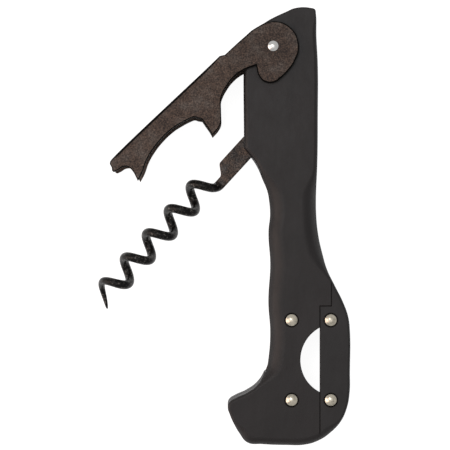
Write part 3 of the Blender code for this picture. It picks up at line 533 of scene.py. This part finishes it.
MATERIALS = {
    "handle_plastic": moulded_plastic("handle_moulded_plastic", CHARCOAL, 1.0),
    "jaw_plastic": moulded_plastic("jaw_moulded_plastic", JAW_CHARCOAL, 2.3),
    "lever_coated_steel": lever_coating(),
    "worm_steel": worm_coating(),
    "rivet_nickel": bare_metal("warm_nickel", (0.71, 0.65, 0.53), 0.26, tarnish=0.5),
    "pivot_steel": bare_metal("bright_steel", (0.80, 0.79, 0.77), 0.22),
    "wheel_steel": bare_metal("ground_steel", (0.58, 0.58, 0.58), 0.2, (1, 1, 6)),
    "guide_steel": bare_metal("drawn_steel", (0.52, 0.52, 0.52), 0.28, (0.1, 3, 3)),
    "spring_steel": bare_metal("spring_wire", (0.36, 0.36, 0.37), 0.32, (3, 1, 1)),
}


# ---------------------------------------------------------------- modelling helpers


def linked(name, mesh):
    obj = bpy.data.objects.new(name, mesh)
    bpy.context.scene.collection.objects.link(obj)
    return obj


def outline_points(outline, resolution):
    """Corner and smooth points drawn as one closed Bezier and read back, in millimetres."""
    curve = bpy.data.curves.new("outline", "CURVE")
    curve.dimensions = "2D"
    curve.fill_mode = "NONE"
    curve.resolution_u = resolution
    spline = curve.splines.new("BEZIER")
    spline.bezier_points.add(len(outline) - 1)
    spline.use_cyclic_u = True
    for point, (x, y, kind) in zip(spline.bezier_points, outline):
        point.co = (x, y, 0.0)
        point.handle_left_type = point.handle_right_type = kind
    drawn = linked("outline", curve)
    mesh = bpy.data.meshes.new_from_object(drawn.evaluated_get(bpy.context.evaluated_depsgraph_get()))
    points = [vertex.co.to_2d() for vertex in mesh.vertices]
    bpy.data.objects.remove(drawn)
    bpy.data.curves.remove(curve)
    bpy.data.meshes.remove(mesh)
    return points


def mesh_through(name, rows, closed_ends=True, looped=False):
    """A skin through rows of the same number of points, in millimetres."""
    bm = bmesh.new()
    grid = [[bm.verts.new(Vector(point) * MM) for point in row] for row in rows]
    pairs = list(zip(grid, grid[1:]))
    if looped:
        pairs.append((grid[-1], grid[0]))
    for lower, upper in pairs:
        for k, vertex in enumerate(lower):
            bm.faces.new((lower[k - 1], vertex, upper[k], upper[k - 1]))
    if closed_ends:
        bm.faces.new(grid[0])
        bm.faces.new(grid[-1])
    bmesh.ops.recalc_face_normals(bm, faces=bm.faces)
    mesh = bpy.data.meshes.new(name)
    bm.to_mesh(mesh)
    bm.free()
    return linked(name, mesh)


def prism(name, points, low, high):
    return mesh_through(name, [[(x, y, z) for x, y in points] for z in (low, high)])


def turned(name, profile, sides):
    """Turns (radius, height) points about Z. A profile that starts and ends off the axis is a ring."""
    ring = all(radius > 0 for radius, _ in profile)
    inner = profile if ring else [point for point in profile if point[0] > 0]
    angles = [2 * math.pi * k / sides for k in range(sides)]
    rows = [[(r * math.cos(a), r * math.sin(a), z) for a in angles] for r, z in inner]
    return mesh_through(name, rows, closed_ends=not ring, looped=ring)


def uncrowded(points, outline, margin):
    """Drops the points of a drawn outline that lie closer to its sharp corners than a margin."""
    corners = [Vector((x, y)) for x, y, kind in outline if kind == CORNER]
    kept = []
    at_corner = 0.01
    for point in points:
        nearest = min((point - corner).length for corner in corners)
        if nearest < at_corner or nearest > margin:
            kept.append(point)
    return kept


def inward_normals(points):
    """For each point of a counter-clockwise outline, the way in, long enough to keep sides parallel."""
    normals = []
    for before, here, after in zip(points[-1:] + points[:-1], points, points[1:] + points[:1]):
        first, second = (here - before).normalized(), (after - here).normalized()
        along = (first + second).normalized()
        stretch = 1.0 / max(along.dot(first), 1.0 / LONGEST_MITRE)
        normals.append(Vector((-along.y, along.x)) * stretch)
    return normals


def rounded_rings(points, height, into, width_at, steps):
    """Rings down a rounded edge, from the flat face at one height to the full outline."""
    rings = []
    normals = inward_normals(points)
    for k in range(steps + 1):
        angle = math.pi / 2 * k / steps
        ring = []
        for point, normal in zip(points, normals):
            width = width_at(point)
            x, y = point + normal * width * (1 - math.sin(angle))
            ring.append((x, y, height + into * width * (1 - math.cos(angle))))
        rings.append(ring)
    return rings


def smooth_step(value, start, end):
    t = min(max((value - start) / (end - start), 0.0), 1.0)
    return t * t * (3 - 2 * t)


def boolean(obj, other, operation="DIFFERENCE"):
    modifier = obj.modifiers.new(other.name, "BOOLEAN")
    modifier.operation = operation
    modifier.object = other
    modifier.solver = "EXACT"


def baked(obj):
    """Makes an object's modifiers real."""
    graph = bpy.context.evaluated_depsgraph_get()
    before = obj.data
    obj.data = bpy.data.meshes.new_from_object(obj.evaluated_get(graph))
    obj.modifiers.clear()
    bpy.data.meshes.remove(before)
    return obj


def cut(obj, cutters):
    """Cuts an object with each cutter, and makes the cuts real."""
    for cutter in cutters:
        boolean(obj, cutter)
    return baked(obj)


def discard(objects):
    for obj in objects:
        bpy.data.objects.remove(obj, do_unlink=True)


def moved(obj, matrix):
    obj.data.transform(matrix)
    return obj


def at(x, y, z):
    return Matrix.Translation(Vector((x, y, z)) * MM)


def on_pivot(pivot, angle):
    """Puts a piece drawn along s and p on its pivot, angle degrees out from straight down."""
    return at(*pivot, MID) @ Matrix.Rotation(math.radians(-90.0 - angle), 4, "Z")


def along_x(y):
    """Lays a turned piece along X, its own +Z to +X."""
    return at(0.0, y, MID) @ Matrix.Rotation(math.pi / 2, 4, "Y")


def shaded(obj, crease):
    """Smooth, but for creases sharper than so many degrees, with the flat faces kept flat."""
    obj.data.shade_smooth()
    obj.data.set_sharp_from_angle(angle=math.radians(crease))
    weighted = obj.modifiers.new("flat_faces", "WEIGHTED_NORMAL")
    weighted.keep_sharp = True
    weighted.weight = FLAT_WEIGHT
    return baked(obj)


def placed(obj, node, crease):
    """A finished piece stands for its CAD node, on that node's body, in that node's finish."""
    moved(obj, Matrix.Translation(SHIFT * MM))
    shaded(obj, crease)
    obj.data.materials.clear()
    obj.data.materials.append(MATERIALS[SLOT_OF[node]])
    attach(obj, BODY_OF[node])
    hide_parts(node)
    return obj


# ---------------------------------------------------------------- handle and jaw


def edge_rounding(point):
    """Edge rounding round the body: full on the grip and the foot, less on the head and round the cutter."""
    on_grip = smooth_step(point.y, *GRIP_TOP)
    head = EDGE_HEAD + (EDGE_TIP - EDGE_HEAD) * smooth_step(point.y, *HEAD_TIP)
    fading = smooth_step(point.y, *(FINGER_SIDE_END if point.x < PALM_SIDE else PALM_SIDE_END))
    upper = head + (EDGE_GRIP - head) * on_grip
    lower = EDGE_CUTTER + (EDGE_FOOT - EDGE_CUTTER) * smooth_step(point.y, *FOOT)
    return upper + (lower - upper) * fading


def shell_blank(name, side):
    """Half of the body, in front of (side 1) or behind (side -1) the parting plane."""
    inner, outer = MID + side * HALF_PARTING, MID + side * HALF_HANDLE
    lip = [point + normal * HAIRLINE for point, normal in zip(BODY_POINTS, inward_normals(BODY_POINTS))]
    rings = [
        [(x, y, inner) for x, y in lip],
        [(x, y, inner + side * HAIRLINE) for x, y in BODY_POINTS],
        *reversed(rounded_rings(BODY_POINTS, outer, -side, edge_rounding, SHELL_STEPS)),
    ]
    return mesh_through(name, rings)


def jaw_zone(name, shift):
    """Everything on the jaw's side of the seam, moved off the seam's middle line by shift."""
    seam, tongue, line = SEAM + shift, TONGUE_SEAM + shift, TONGUE_LINE - shift
    corners = [(seam, -BEYOND), (BEYOND, -BEYOND), (BEYOND, 0), (tongue, 0), (tongue, line), (seam, line)]
    return prism(name, corners, BELOW, ABOVE)


def seam_grooves():
    """Shallow V grooves that take the sharp edge off the seams, on the front and the back."""
    runs = [
        ((SEAM, -BEYOND), (SEAM, TONGUE_LINE)),
        ((SEAM - HAIRLINE, TONGUE_LINE), (TONGUE_SEAM + HAIRLINE, TONGUE_LINE)),
        ((TONGUE_SEAM, TONGUE_LINE), (TONGUE_SEAM, 0)),
    ]
    grooves = []
    for side in (1, -1):
        face = MID + side * HALF_HANDLE
        proud = face + side * 2 * HAIRLINE
        for number, (start, end) in enumerate(runs):
            start, end = Vector(start), Vector(end)
            across = (end - start).normalized().orthogonal() * SEAM_GROOVE
            rows = []
            for point in (start, end):
                mouth = [(*(point - 2 * across), proud), (*(point + 2 * across), proud)]
                rows.append([*mouth, (*point, face - side * SEAM_GROOVE)])
            grooves.append(mesh_through(f"seam_groove_{number}_{side}", rows))
    return grooves


def round_cutter(name, centre, profile, sides):
    """A turned cutter at a point of the outline plane, its heights measured from the floor."""
    return moved(turned(name, profile, sides), at(*centre, 0.0))


def rivet_seats(side):
    """One stepped cutter for each wheel rivet: counterbores, shank hole and the wheel's pocket."""
    hole = WHEEL_RIVET + HOLE_CLEARANCE
    seat = HALF_HANDLE - SEEN_DEPTH
    half = [
        (0, HALF_THROUGH),
        (COUNTERBORE + 2 * HAIRLINE, HALF_THROUGH),
        (COUNTERBORE + 2 * HAIRLINE, HALF_HANDLE + HAIRLINE),
        (COUNTERBORE, HALF_HANDLE - HAIRLINE),
        (COUNTERBORE, seat),
        (hole, seat),
        (hole, WHEEL_ROOM_HALF),
        (WHEEL_ROOM, WHEEL_ROOM_HALF),
    ]
    profile = [(r, MID + z) for r, z in half] + [(r, MID - z) for r, z in reversed(half)]
    x = WHEEL_X[side]
    return [round_cutter(f"{side}_{label}_seat", (x, y), profile, PIN_SIDES) for label, y in WHEEL_Y.items()]


def lip_cutter(name, centre):
    """The recess that the bottle's lip enters from the back, its mouth eased."""
    ledge = MID + HALF_HANDLE - LEDGE_THICK
    back = MID - HALF_HANDLE
    profile = [
        (0, ledge),
        (LIP_RECESS - HAIRLINE, ledge),
        (LIP_RECESS, ledge - HAIRLINE),
        (LIP_RECESS, back + LIP_EASING_HALF),
        (LIP_RECESS + LIP_EASING, back - LIP_EASING_HALF),
        (LIP_RECESS + LIP_EASING, BELOW),
        (0, BELOW),
    ]
    return round_cutter(name, centre, profile, WINDOW_SIDES)


def window_cutter():
    """The window in the handle's front shell: a chamfered circle, cut short by the closed jaw."""
    front = MID + HALF_HANDLE
    profile = [
        (0, ABOVE),
        (LEDGE_RADIUS + 2 * HAIRLINE, ABOVE),
        (LEDGE_RADIUS + 2 * HAIRLINE, front + HAIRLINE),
        (LEDGE_RADIUS, front - HAIRLINE),
        (LEDGE_RADIUS, MID),
        (0, MID),
    ]
    return round_cutter("window", LIP_CENTRE, profile, WINDOW_SIDES)


def bore_along_x(name, y, radius, low, high):
    profile = [(0, high), (radius, high), (radius, low), (0, low)]
    return moved(turned(name, profile, HOLE_SIDES), along_x(y))


def worm_slot():
    """The slot that the tang swings in, from folded to fully open."""
    pivot, margin = WORM_PIVOT, HALF_TANG + TANG_MARGIN
    foot = pivot.y - NECK_END - TANG_MARGIN
    opened = math.radians(180 - WORM_OPEN)  # from pointing right, turned until square to the open tang
    steps = 24
    arc = [opened * k / steps for k in range(steps + 1)]
    rounded = [pivot + margin * Vector((math.cos(a), math.sin(a))) for a in arc]
    mouth = rounded[-1] + SLOT_MOUTH * Vector((-math.sin(opened), math.cos(opened)))
    corners = [(pivot.x + margin, foot), *rounded, mouth, (mouth.x, foot)]
    thick = HALF_TANG_THICK + GAP
    return prism("worm_slot", corners, MID - thick, MID + thick)


def worm_groove():
    """The round-bottomed trough down the grip that the folded coil lies in."""
    radius = COIL + WIRE + GAP
    axis_x = WORM_PIVOT.x + COIL_AXIS
    steps = 40
    arc = [math.radians(90 - 180 * k / steps) for k in range(steps + 1)]
    section = [(axis_x + radius * math.cos(a), radius * math.sin(a)) for a in arc]
    outside = axis_x - 3 * radius
    section += [(outside, -radius), (outside, radius)]
    tip = WORM_PIVOT.y - COIL_START - TURNS * PITCH - POINT - OVERRUN
    top = WORM_PIVOT.y - TANG_LENGTH + HALF_TANG
    rows = [[(x, y, MID + z) for x, z in section] for y in (tip, top)]
    return mesh_through("worm_groove", rows)


def pin_room():
    """The worm pin's hole with the wider space for its washers."""
    hole, half = WORM_PIN + HOLE_CLEARANCE, WORM_PIN_HALF + HOLE_CLEARANCE
    room, room_half = HALF_TANG + TANG_MARGIN, HALF_TANG_THICK + WASHER + WASHER_SPACE
    side = [(0, half), (hole, half), (hole, room_half), (room, room_half)]
    profile = [(r, MID + z) for r, z in side] + [(r, MID - z) for r, z in reversed(side)]
    return round_cutter("worm_pin_room", WORM_PIVOT, profile, HOLE_SIDES)


def make_handle():
    lever_hole = LEVER_RIVET + HOLE_CLEARANCE
    hole_profile = [(0, ABOVE), (lever_hole, ABOVE), (lever_hole, BELOW), (0, BELOW)]
    spring_room = (SPRING_RADIUS + SPRING_WIRE + GAP) * SPRING_EASE
    bore = ROD + ROD_CLEARANCE
    shared = [
        jaw_zone("jaw_space", -HALF_SEAM),
        lip_cutter("handle_lip_recess", LIP_CENTRE),
        round_cutter("lever_hole", LEVER_PIVOT, hole_profile, HOLE_SIDES),
        pin_room(),
        worm_slot(),
        worm_groove(),
        bore_along_x("upper_bore", UPPER_ROD, bore, UPPER_ROD_SPAN[0] - ROD_CLEARANCE, UPPER_ROD_SPAN[1]),
        bore_along_x("lower_bore", LOWER_ROD, bore, SPRING_POCKET[1] - OVERRUN, SEAM + OVERRUN),
        bore_along_x("spring_bore", LOWER_ROD, spring_room, *SPRING_POCKET),
        *rivet_seats("handle"),
        *seam_grooves(),
    ]
    window = window_cutter()
    front = cut(shell_blank("handle_front_moulding", 1), [*shared, window])
    back = cut(shell_blank("handle_back_moulding", -1), shared)
    discard([*shared, window])
    placed(front, "handle_front_shell", MOULDED)
    placed(back, "handle_back_shell", MOULDED)


def make_jaw():
    zone = jaw_zone("jaw_blank", HALF_SEAM)
    socket = ROD + ROD_CLEARANCE
    head_low = LOWER_ROD_SPAN[1] - ROD_HEAD_THICK - GAP
    head_high = LOWER_ROD_SPAN[1] + ROD_CLEARANCE
    shared = [
        lip_cutter("jaw_lip_recess", (LIP_CENTRE.x - TRAVEL, LIP_CENTRE.y)),
        bore_along_x("upper_socket", UPPER_ROD, socket, SEAM - OVERRUN, UPPER_ROD_SPAN[1] + ROD_CLEARANCE),
        bore_along_x("lower_socket", LOWER_ROD, socket, SEAM - OVERRUN, head_high),
        bore_along_x("rod_head_seat", LOWER_ROD, ROD_HEAD + ROD_CLEARANCE, head_low, head_high),
        *rivet_seats("jaw"),
        *seam_grooves(),
    ]
    for word, side in (("front", 1), ("back", -1)):
        blank = shell_blank(f"jaw_{word}_moulding", side)
        boolean(blank, zone, "INTERSECT")
        placed(cut(blank, shared), f"jaw_{word}_shell", MOULDED)
    discard([zone, *shared])


# ---------------------------------------------------------------- lever


def pivot_hole(name, shank, half):
    """A cutter at a piece's own pivot, for a shank with its clearance."""
    radius = shank + HOLE_CLEARANCE
    return turned(name, [(0, half), (radius, half), (radius, -half), (0, -half)], HOLE_SIDES)


def sheet_rounding(point):
    """Edge rounding round the lever: the fold's along the web, and the blanked sheet's elsewhere."""
    edge = SHEET_EDGE + (EAR_EDGE - SHEET_EDGE) * smooth_step(point.x, *EAR_BLEND)
    if point.y > WEB_LINE + FOLD_BLEND:
        return edge
    folded = smooth_step(point.x, WEB_START, WEB_START + FOLD_BLEND) * smooth_step(point.x, *WEB_END)
    return edge + (LEVER_BEND - edge) * folded


def make_lever():
    """One folded sheet: a solid of its side view, rounded on both faces, with the channel cut out of it."""
    points = uncrowded(outline_points(LEVER_OUTLINE, LEVER_FINENESS), LEVER_OUTLINE, CORNER_MARGIN)
    back = rounded_rings(points, -CHEEK_OUT, 1, sheet_rounding, SHEET_STEPS)
    front = rounded_rings(points, CHEEK_OUT, -1, sheet_rounding, SHEET_STEPS)
    lever = mesh_through("folded_lever", [*back, *reversed(front)])
    web_in = WEB_LINE + SHEET
    (near, far), (low, high) = LEVER_BOX
    under_ear = [(near, low), (WEB_START, low), (WEB_START, web_in)]
    corners = [*under_ear, (far, web_in), (far, high), (near, high)]
    channel = prism("lever_channel", corners, -CHEEK_IN, CHEEK_IN)
    hole = pivot_hole("lever_rivet_hole", LEVER_RIVET, LEVER_THROUGH)
    cut(lever, [channel, hole])
    discard([channel, hole])
    moved(lever, on_pivot(LEVER_PIVOT, LEVER_ANGLE))
    placed(lever, "lever", FOLDED)


# ---------------------------------------------------------------- worm


def coil_angle(s):
    """The wire's turn at a distance s from the pivot: none in the neck, then full pitch."""
    rate = 2 * math.pi / PITCH
    start = COIL_START - LEAD / 2
    if s < start:
        return 0.0
    if s < start + LEAD:
        return rate * (s - start) ** 2 / (2 * LEAD)
    into_point = max(0.0, s - COIL_START - TURNS * PITCH)
    return rate * (s - COIL_START - into_point) + 2 * math.pi / POINT_PITCH * into_point


def wire_centre(s):
    """The wire's centre line: a straight neck, the coil, and a point whose second half runs straight on."""
    turn = coil_angle(s)
    past_middle = turn - 2 * math.pi * (TURNS + 0.25)
    across = past_middle if past_middle > 0 else math.cos(turn)
    return Vector((s, COIL_AXIS + COIL * across, COIL * math.sin(turn)))


def worm_section(s):
    """Half width, half thickness, offset from the wire's centre, and squareness of the section at s."""
    wire = COIL_AXIS + COIL
    least = 0.02  # the first section isn't a point
    if s < 0.0:
        return math.sqrt(max(HALF_TANG**2 - s**2, least)), HALF_TANG_THICK, -wire, FLAT_SECTION
    left = (COIL_START + TURNS * PITCH + POINT - s) / TAPER
    kept = min(1.0, TIP + (1 - TIP) * math.sqrt(max(left, 0.0)))
    below = WIRE + (HALF_TANG + wire - WIRE) * (1 - smooth_step(s, *LOWER_SHOULDER))
    above = WIRE + (HALF_TANG - wire - WIRE) * (1 - smooth_step(s, *UPPER_SHOULDER))
    rounding = smooth_step(s, *NECK)
    thick = HALF_TANG_THICK + (WIRE - HALF_TANG_THICK) * rounding
    square = FLAT_SECTION + (ROUND_SECTION - FLAT_SECTION) * rounding
    return (above + below) / 2 * kept, thick * kept, (above - below) / 2, square


def squared_off(share, square):
    """Turns a cosine or sine on a circle into the same on a superellipse."""
    return math.copysign(abs(share) ** (2 / square), share)


def make_worm():
    """One forged piece: flat tang, neck and coil in a single skin, which ends in a point."""
    end = COIL_START + TURNS * PITCH + POINT
    lead = COIL_START - LEAD / 2
    round_steps, tang_steps, neck_steps, coil_steps, around = 10, 8, 26, 320, 28
    round_end = [-HALF_TANG * math.cos(math.pi / 2 * k / round_steps) for k in range(round_steps)]
    tang = [TANG_LENGTH * k / tang_steps for k in range(tang_steps + 1)]
    neck = [TANG_LENGTH + (lead - TANG_LENGTH) * k / neck_steps for k in range(1, neck_steps + 1)]
    coil = [lead + (end - lead) * k / coil_steps for k in range(1, coil_steps + 1)]
    ahead = 0.01
    rows = []
    for s in [*round_end, *tang, *neck, *coil]:
        width, thick, offset, square = worm_section(s)
        turn = coil_angle(s)
        way = (wire_centre(s + ahead) - wire_centre(s)).normalized()
        side = way.cross(Vector((0.0, math.cos(turn), math.sin(turn)))).normalized()
        out = side.cross(way)
        middle = wire_centre(s) + out * offset
        row = []
        for k in range(around):
            a = 2 * math.pi * (k + 0.5) / around
            across, through = squared_off(math.cos(a), square), squared_off(math.sin(a), square)
            row.append(middle + out * width * across + side * thick * through)
        rows.append(row)
    worm = mesh_through("coiled_worm", rows)
    hole = pivot_hole("tang_hole", WORM_PIN, TANG_THROUGH)
    cut(worm, [hole])
    discard([hole])
    moved(worm, on_pivot(WORM_PIVOT, WORM_ANGLE))
    placed(worm, "worm", FORGED)


# ---------------------------------------------------------------- turned pieces


def dome(radius, base, rise, steps):
    """(radius, height) down a domed head with a small rounded rim."""
    inner, lift = radius - RIVET_RIM, rise - RIVET_RIM
    sphere = (inner * inner + lift * lift) / (2 * lift)
    widest = math.asin(inner / sphere)
    first = 0.25  # of a step from the top, where the profile starts off the axis
    cap = [widest * (k + first) / (steps + first) for k in range(steps + 1)]
    side = [(sphere * math.sin(a), base + rise - sphere * (1 - math.cos(a))) for a in cap]
    edge = [math.pi / 2 * k / RIM_STEPS for k in range(1, RIM_STEPS + 1)]
    return side + [(inner + RIVET_RIM * math.sin(a), base + RIVET_RIM * math.cos(a)) for a in edge]


def make_rivet(name, node, centre, shank, head, grip, rise):
    """A shank with a domed head at each end, its heads' undersides grip from the parting plane."""
    upper = dome(head, grip, rise, DOME_STEPS) + [(shank, grip)]
    profile = upper + [(radius, -height) for radius, height in reversed(upper)]
    rivet = moved(turned(name, profile, RIVET_SIDES), at(*centre, MID))
    placed(rivet, node, FORGED)


def make_rivets_and_wheels():
    make_rivet(
        "lever_pivot_domed_rivet", "lever_pivot_rivet", LEVER_PIVOT,
        LEVER_RIVET, LEVER_RIVET_HEAD, CHEEK_OUT + SEAT_GAP, LEVER_RIVET_RISE,
    )
    bore = WHEEL_RIVET + HOLE_CLEARANCE
    half = [
        (bore, WHEEL_HUB_HALF - WHEEL_BORE_CHAMFER),
        (bore + WHEEL_BORE_CHAMFER, WHEEL_HUB_HALF),
        (WHEEL_HUB - WHEEL_HUB_CHAMFER, WHEEL_HUB_HALF),
        (WHEEL_HUB, WHEEL_HUB_HALF - WHEEL_HUB_CHAMFER),
        (WHEEL_WEB, WHEEL_WEB_HALF),
        (WHEEL_BEVEL, WHEEL_BEVEL_HALF),
        (WHEEL_RADIUS, WHEEL_EDGE_HALF),
    ]
    profile = half + [(radius, -height) for radius, height in reversed(half)]
    grip = HALF_HANDLE - COUNTERBORE_DEPTH + SEAT_GAP
    for side, x in WHEEL_X.items():
        for label, y in WHEEL_Y.items():
            name = f"{label}_{side}"
            make_rivet(
                f"{name}_domed_rivet", f"{name}_wheel_rivet", (x, y),
                WHEEL_RIVET, WHEEL_RIVET_HEAD, grip, WHEEL_RIVET_RISE,
            )
            wheel = moved(turned(f"{name}_foil_wheel", profile, WHEEL_SIDES), at(x, y, MID))
            placed(wheel, f"{name}_cutting_wheel", TURNED)


def make_worm_pivot():
    """The pin trapped between the shells, and its two dished washers."""
    blunt, shoulder = WORM_PIN - WORM_PIN_CHAMFER, WORM_PIN_HALF - WORM_PIN_CHAMFER
    half = [(0, WORM_PIN_HALF), (blunt, WORM_PIN_HALF), (WORM_PIN, shoulder)]
    profile = half + [(radius, -height) for radius, height in reversed(half)]
    placed(moved(turned("worm_pin", profile, PIN_SIDES), at(*WORM_PIVOT, MID)), "worm_pivot_pin", TURNED)
    inner = WORM_PIN + HOLE_CLEARANCE
    upper, lower = (WASHER_RADIUS, WASHER + WASHER_DISH), (WASHER_RADIUS, WASHER_DISH)
    ring = [(inner, WASHER), upper, lower, (inner, 0.0)]
    for word, side in (("front", 1), ("back", -1)):
        flip = Matrix.Rotation(0.0 if side > 0 else math.pi, 4, "X")
        place = at(*WORM_PIVOT, MID + side * (HALF_TANG_THICK + SEAT_GAP)) @ flip
        washer = moved(turned(f"{word}_dished_washer", ring, RING_SIDES), place)
        placed(washer, f"{word}_friction_washer", TURNED)


def make_guides():
    """The two rods, and the open clip in the lower one's groove."""
    blunt = ROD - ROD_CHAMFER
    low, high = UPPER_ROD_SPAN
    upper = [(0, high), (blunt, high), (ROD, high - ROD_CHAMFER)]
    upper += [(ROD, low + ROD_CHAMFER), (blunt, low), (0, low)]
    placed(moved(turned("upper_rod", upper, PIN_SIDES), along_x(UPPER_ROD)), "upper_guide_rod", TURNED)

    low, high = LOWER_ROD_SPAN
    under_head = high - ROD_HEAD_THICK
    groove_low, groove_high = CLIP[0] - SEAT_GAP, CLIP[1] + SEAT_GAP
    lower = [(0, high), (ROD_HEAD - ROD_HEAD_CHAMFER, high), (ROD_HEAD, high - ROD_HEAD_CHAMFER)]
    lower += [(ROD_HEAD, under_head), (ROD, under_head), (ROD, groove_high), (CLIP_GROOVE, groove_high)]
    lower += [(CLIP_GROOVE, groove_low), (ROD, groove_low), (blunt, low), (0, low)]
    placed(moved(turned("lower_rod", lower, PIN_SIDES), along_x(LOWER_ROD)), "lower_guide_rod", TURNED)

    low, high = CLIP
    inner = CLIP_GROOVE + CLIP_FIT
    ring = [(inner, high), (CLIP_RADIUS, high), (CLIP_RADIUS, low), (inner, low)]
    clip = moved(turned("spring_clip", ring, RING_SIDES), along_x(LOWER_ROD))
    half_mouth = CLIP_GROOVE - CLIP_FIT
    left, right = low - OVERRUN, high + OVERRUN
    down, up = LOWER_ROD - half_mouth, LOWER_ROD + half_mouth
    mouth_points = [(left, down), (right, down), (right, up), (left, up)]
    mouth = prism("clip_mouth", mouth_points, MID - CLIP_RADIUS - OVERRUN, MID)
    cut(clip, [mouth])
    discard([mouth])
    placed(clip, "spring_retainer_clip", TURNED)


def make_spring():
    """The coil that pulls the jaw shut, which shortens towards its fixed end as the jaw opens. Here it is
    drawn once, with the jaw shut, on a mesh of its own.
    """
    low, high = SPRING_START, SPRING_POCKET[1] - SPRING_WIRE - SEAT_GAP
    per_turn, around = 40, 10
    count = SPRING_TURNS * per_turn
    slope = (high - low) / (2 * math.pi * SPRING_TURNS)
    rows = []
    for k in range(count + 1):
        turn = 2 * math.pi * k / per_turn
        out = Vector((0.0, math.cos(turn), math.sin(turn)))
        way = Vector((slope, -SPRING_RADIUS * math.sin(turn), SPRING_RADIUS * math.cos(turn))).normalized()
        side = way.cross(out)
        middle = Vector((low + (high - low) * k / count, LOWER_ROD, MID)) + out * SPRING_RADIUS
        angles = [2 * math.pi * j / around for j in range(around)]
        rows.append([middle + (out * math.cos(a) + side * math.sin(a)) * SPRING_WIRE for a in angles])
    spring = placed(mesh_through("jaw_spring", rows), "jaw_return_spring", COILED)
    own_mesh(spring)


# ---------------------------------------------------------------- stage


def make_floor():
    """A pale floor that glows a little, as a lit table does, so that shadows on it stay faint."""
    made, tree, shader = new_material("pale_floor", 0.9, specular=0.1)
    cloud = noise(tree, object_point(tree, (0.004, 0.004, 0.004)), 1.0, 2.0)
    stops = [(0.3, (0.30, 0.30, 0.30)), (0.7, (0.34, 0.34, 0.34))]
    tree.links.new(ramp(tree, cloud, stops), shader.inputs["Base Color"])
    shader.inputs["Emission Color"].default_value = (1.0, 1.0, 1.0, 1.0)
    shader.inputs["Emission Strength"].default_value = FLOOR_GLOW
    bm = bmesh.new()
    corners = [(-FLOOR, -FLOOR), (FLOOR, -FLOOR), (FLOOR, FLOOR), (-FLOOR, FLOOR)]
    bm.faces.new([bm.verts.new(Vector((x, y, -FLOOR_DROP)) * MM) for x, y in corners])
    mesh = bpy.data.meshes.new("floor")
    bm.to_mesh(mesh)
    bm.free()
    mesh.materials.append(made)
    linked("floor", mesh)


def area_light(name, place, size, power, colour):
    """A rectangle of light that faces the middle of the object."""
    light = bpy.data.lights.new(name, "AREA")
    light.shape = "RECTANGLE"
    light.size, light.size_y = size[0] * MM, size[1] * MM
    light.energy = power
    light.color = colour
    holder = linked(name, light)
    holder.location = Vector(place) * MM
    holder.rotation_euler = Vector(place).to_track_quat("Z", "Y").to_euler()


def make_studio():
    world = bpy.data.worlds.new("studio")
    bpy.context.scene.world = world
    world.use_nodes = True
    sky = world.node_tree.nodes["Background"]
    sky.inputs["Color"].default_value = (1.0, 1.0, 1.0, 1.0)
    sky.inputs["Strength"].default_value = SKY_GLOW
    for name, settings in LIGHTS.items():
        area_light(name, *settings)


def make_camera():
    """Straight above, at the distance that shows the far cheek of the lever's notches as a thin band."""
    camera = linked("camera", bpy.data.cameras.new("camera"))
    height = MID + HALF_HANDLE + EYE_DISTANCE
    camera.location = (Vector((*EYE, height)) + Vector((SHIFT.x, SHIFT.y, 0.0))) * MM
    camera.data.sensor_width = SENSOR
    camera.data.lens = SENSOR * EYE_DISTANCE / VIEW_WIDTH
    camera.data.clip_start, camera.data.clip_end = 0.01, 10.0
    bpy.context.scene.camera = camera


BODY_POINTS = outline_points(BODY_OUTLINE, BODY_FINENESS)
make_handle()
make_jaw()
make_lever()
make_worm()
make_rivets_and_wheels()
make_worm_pivot()
make_guides()
make_spring()
make_floor()
make_studio()
make_camera()
bpy.context.scene.view_settings.view_transform = "Standard"
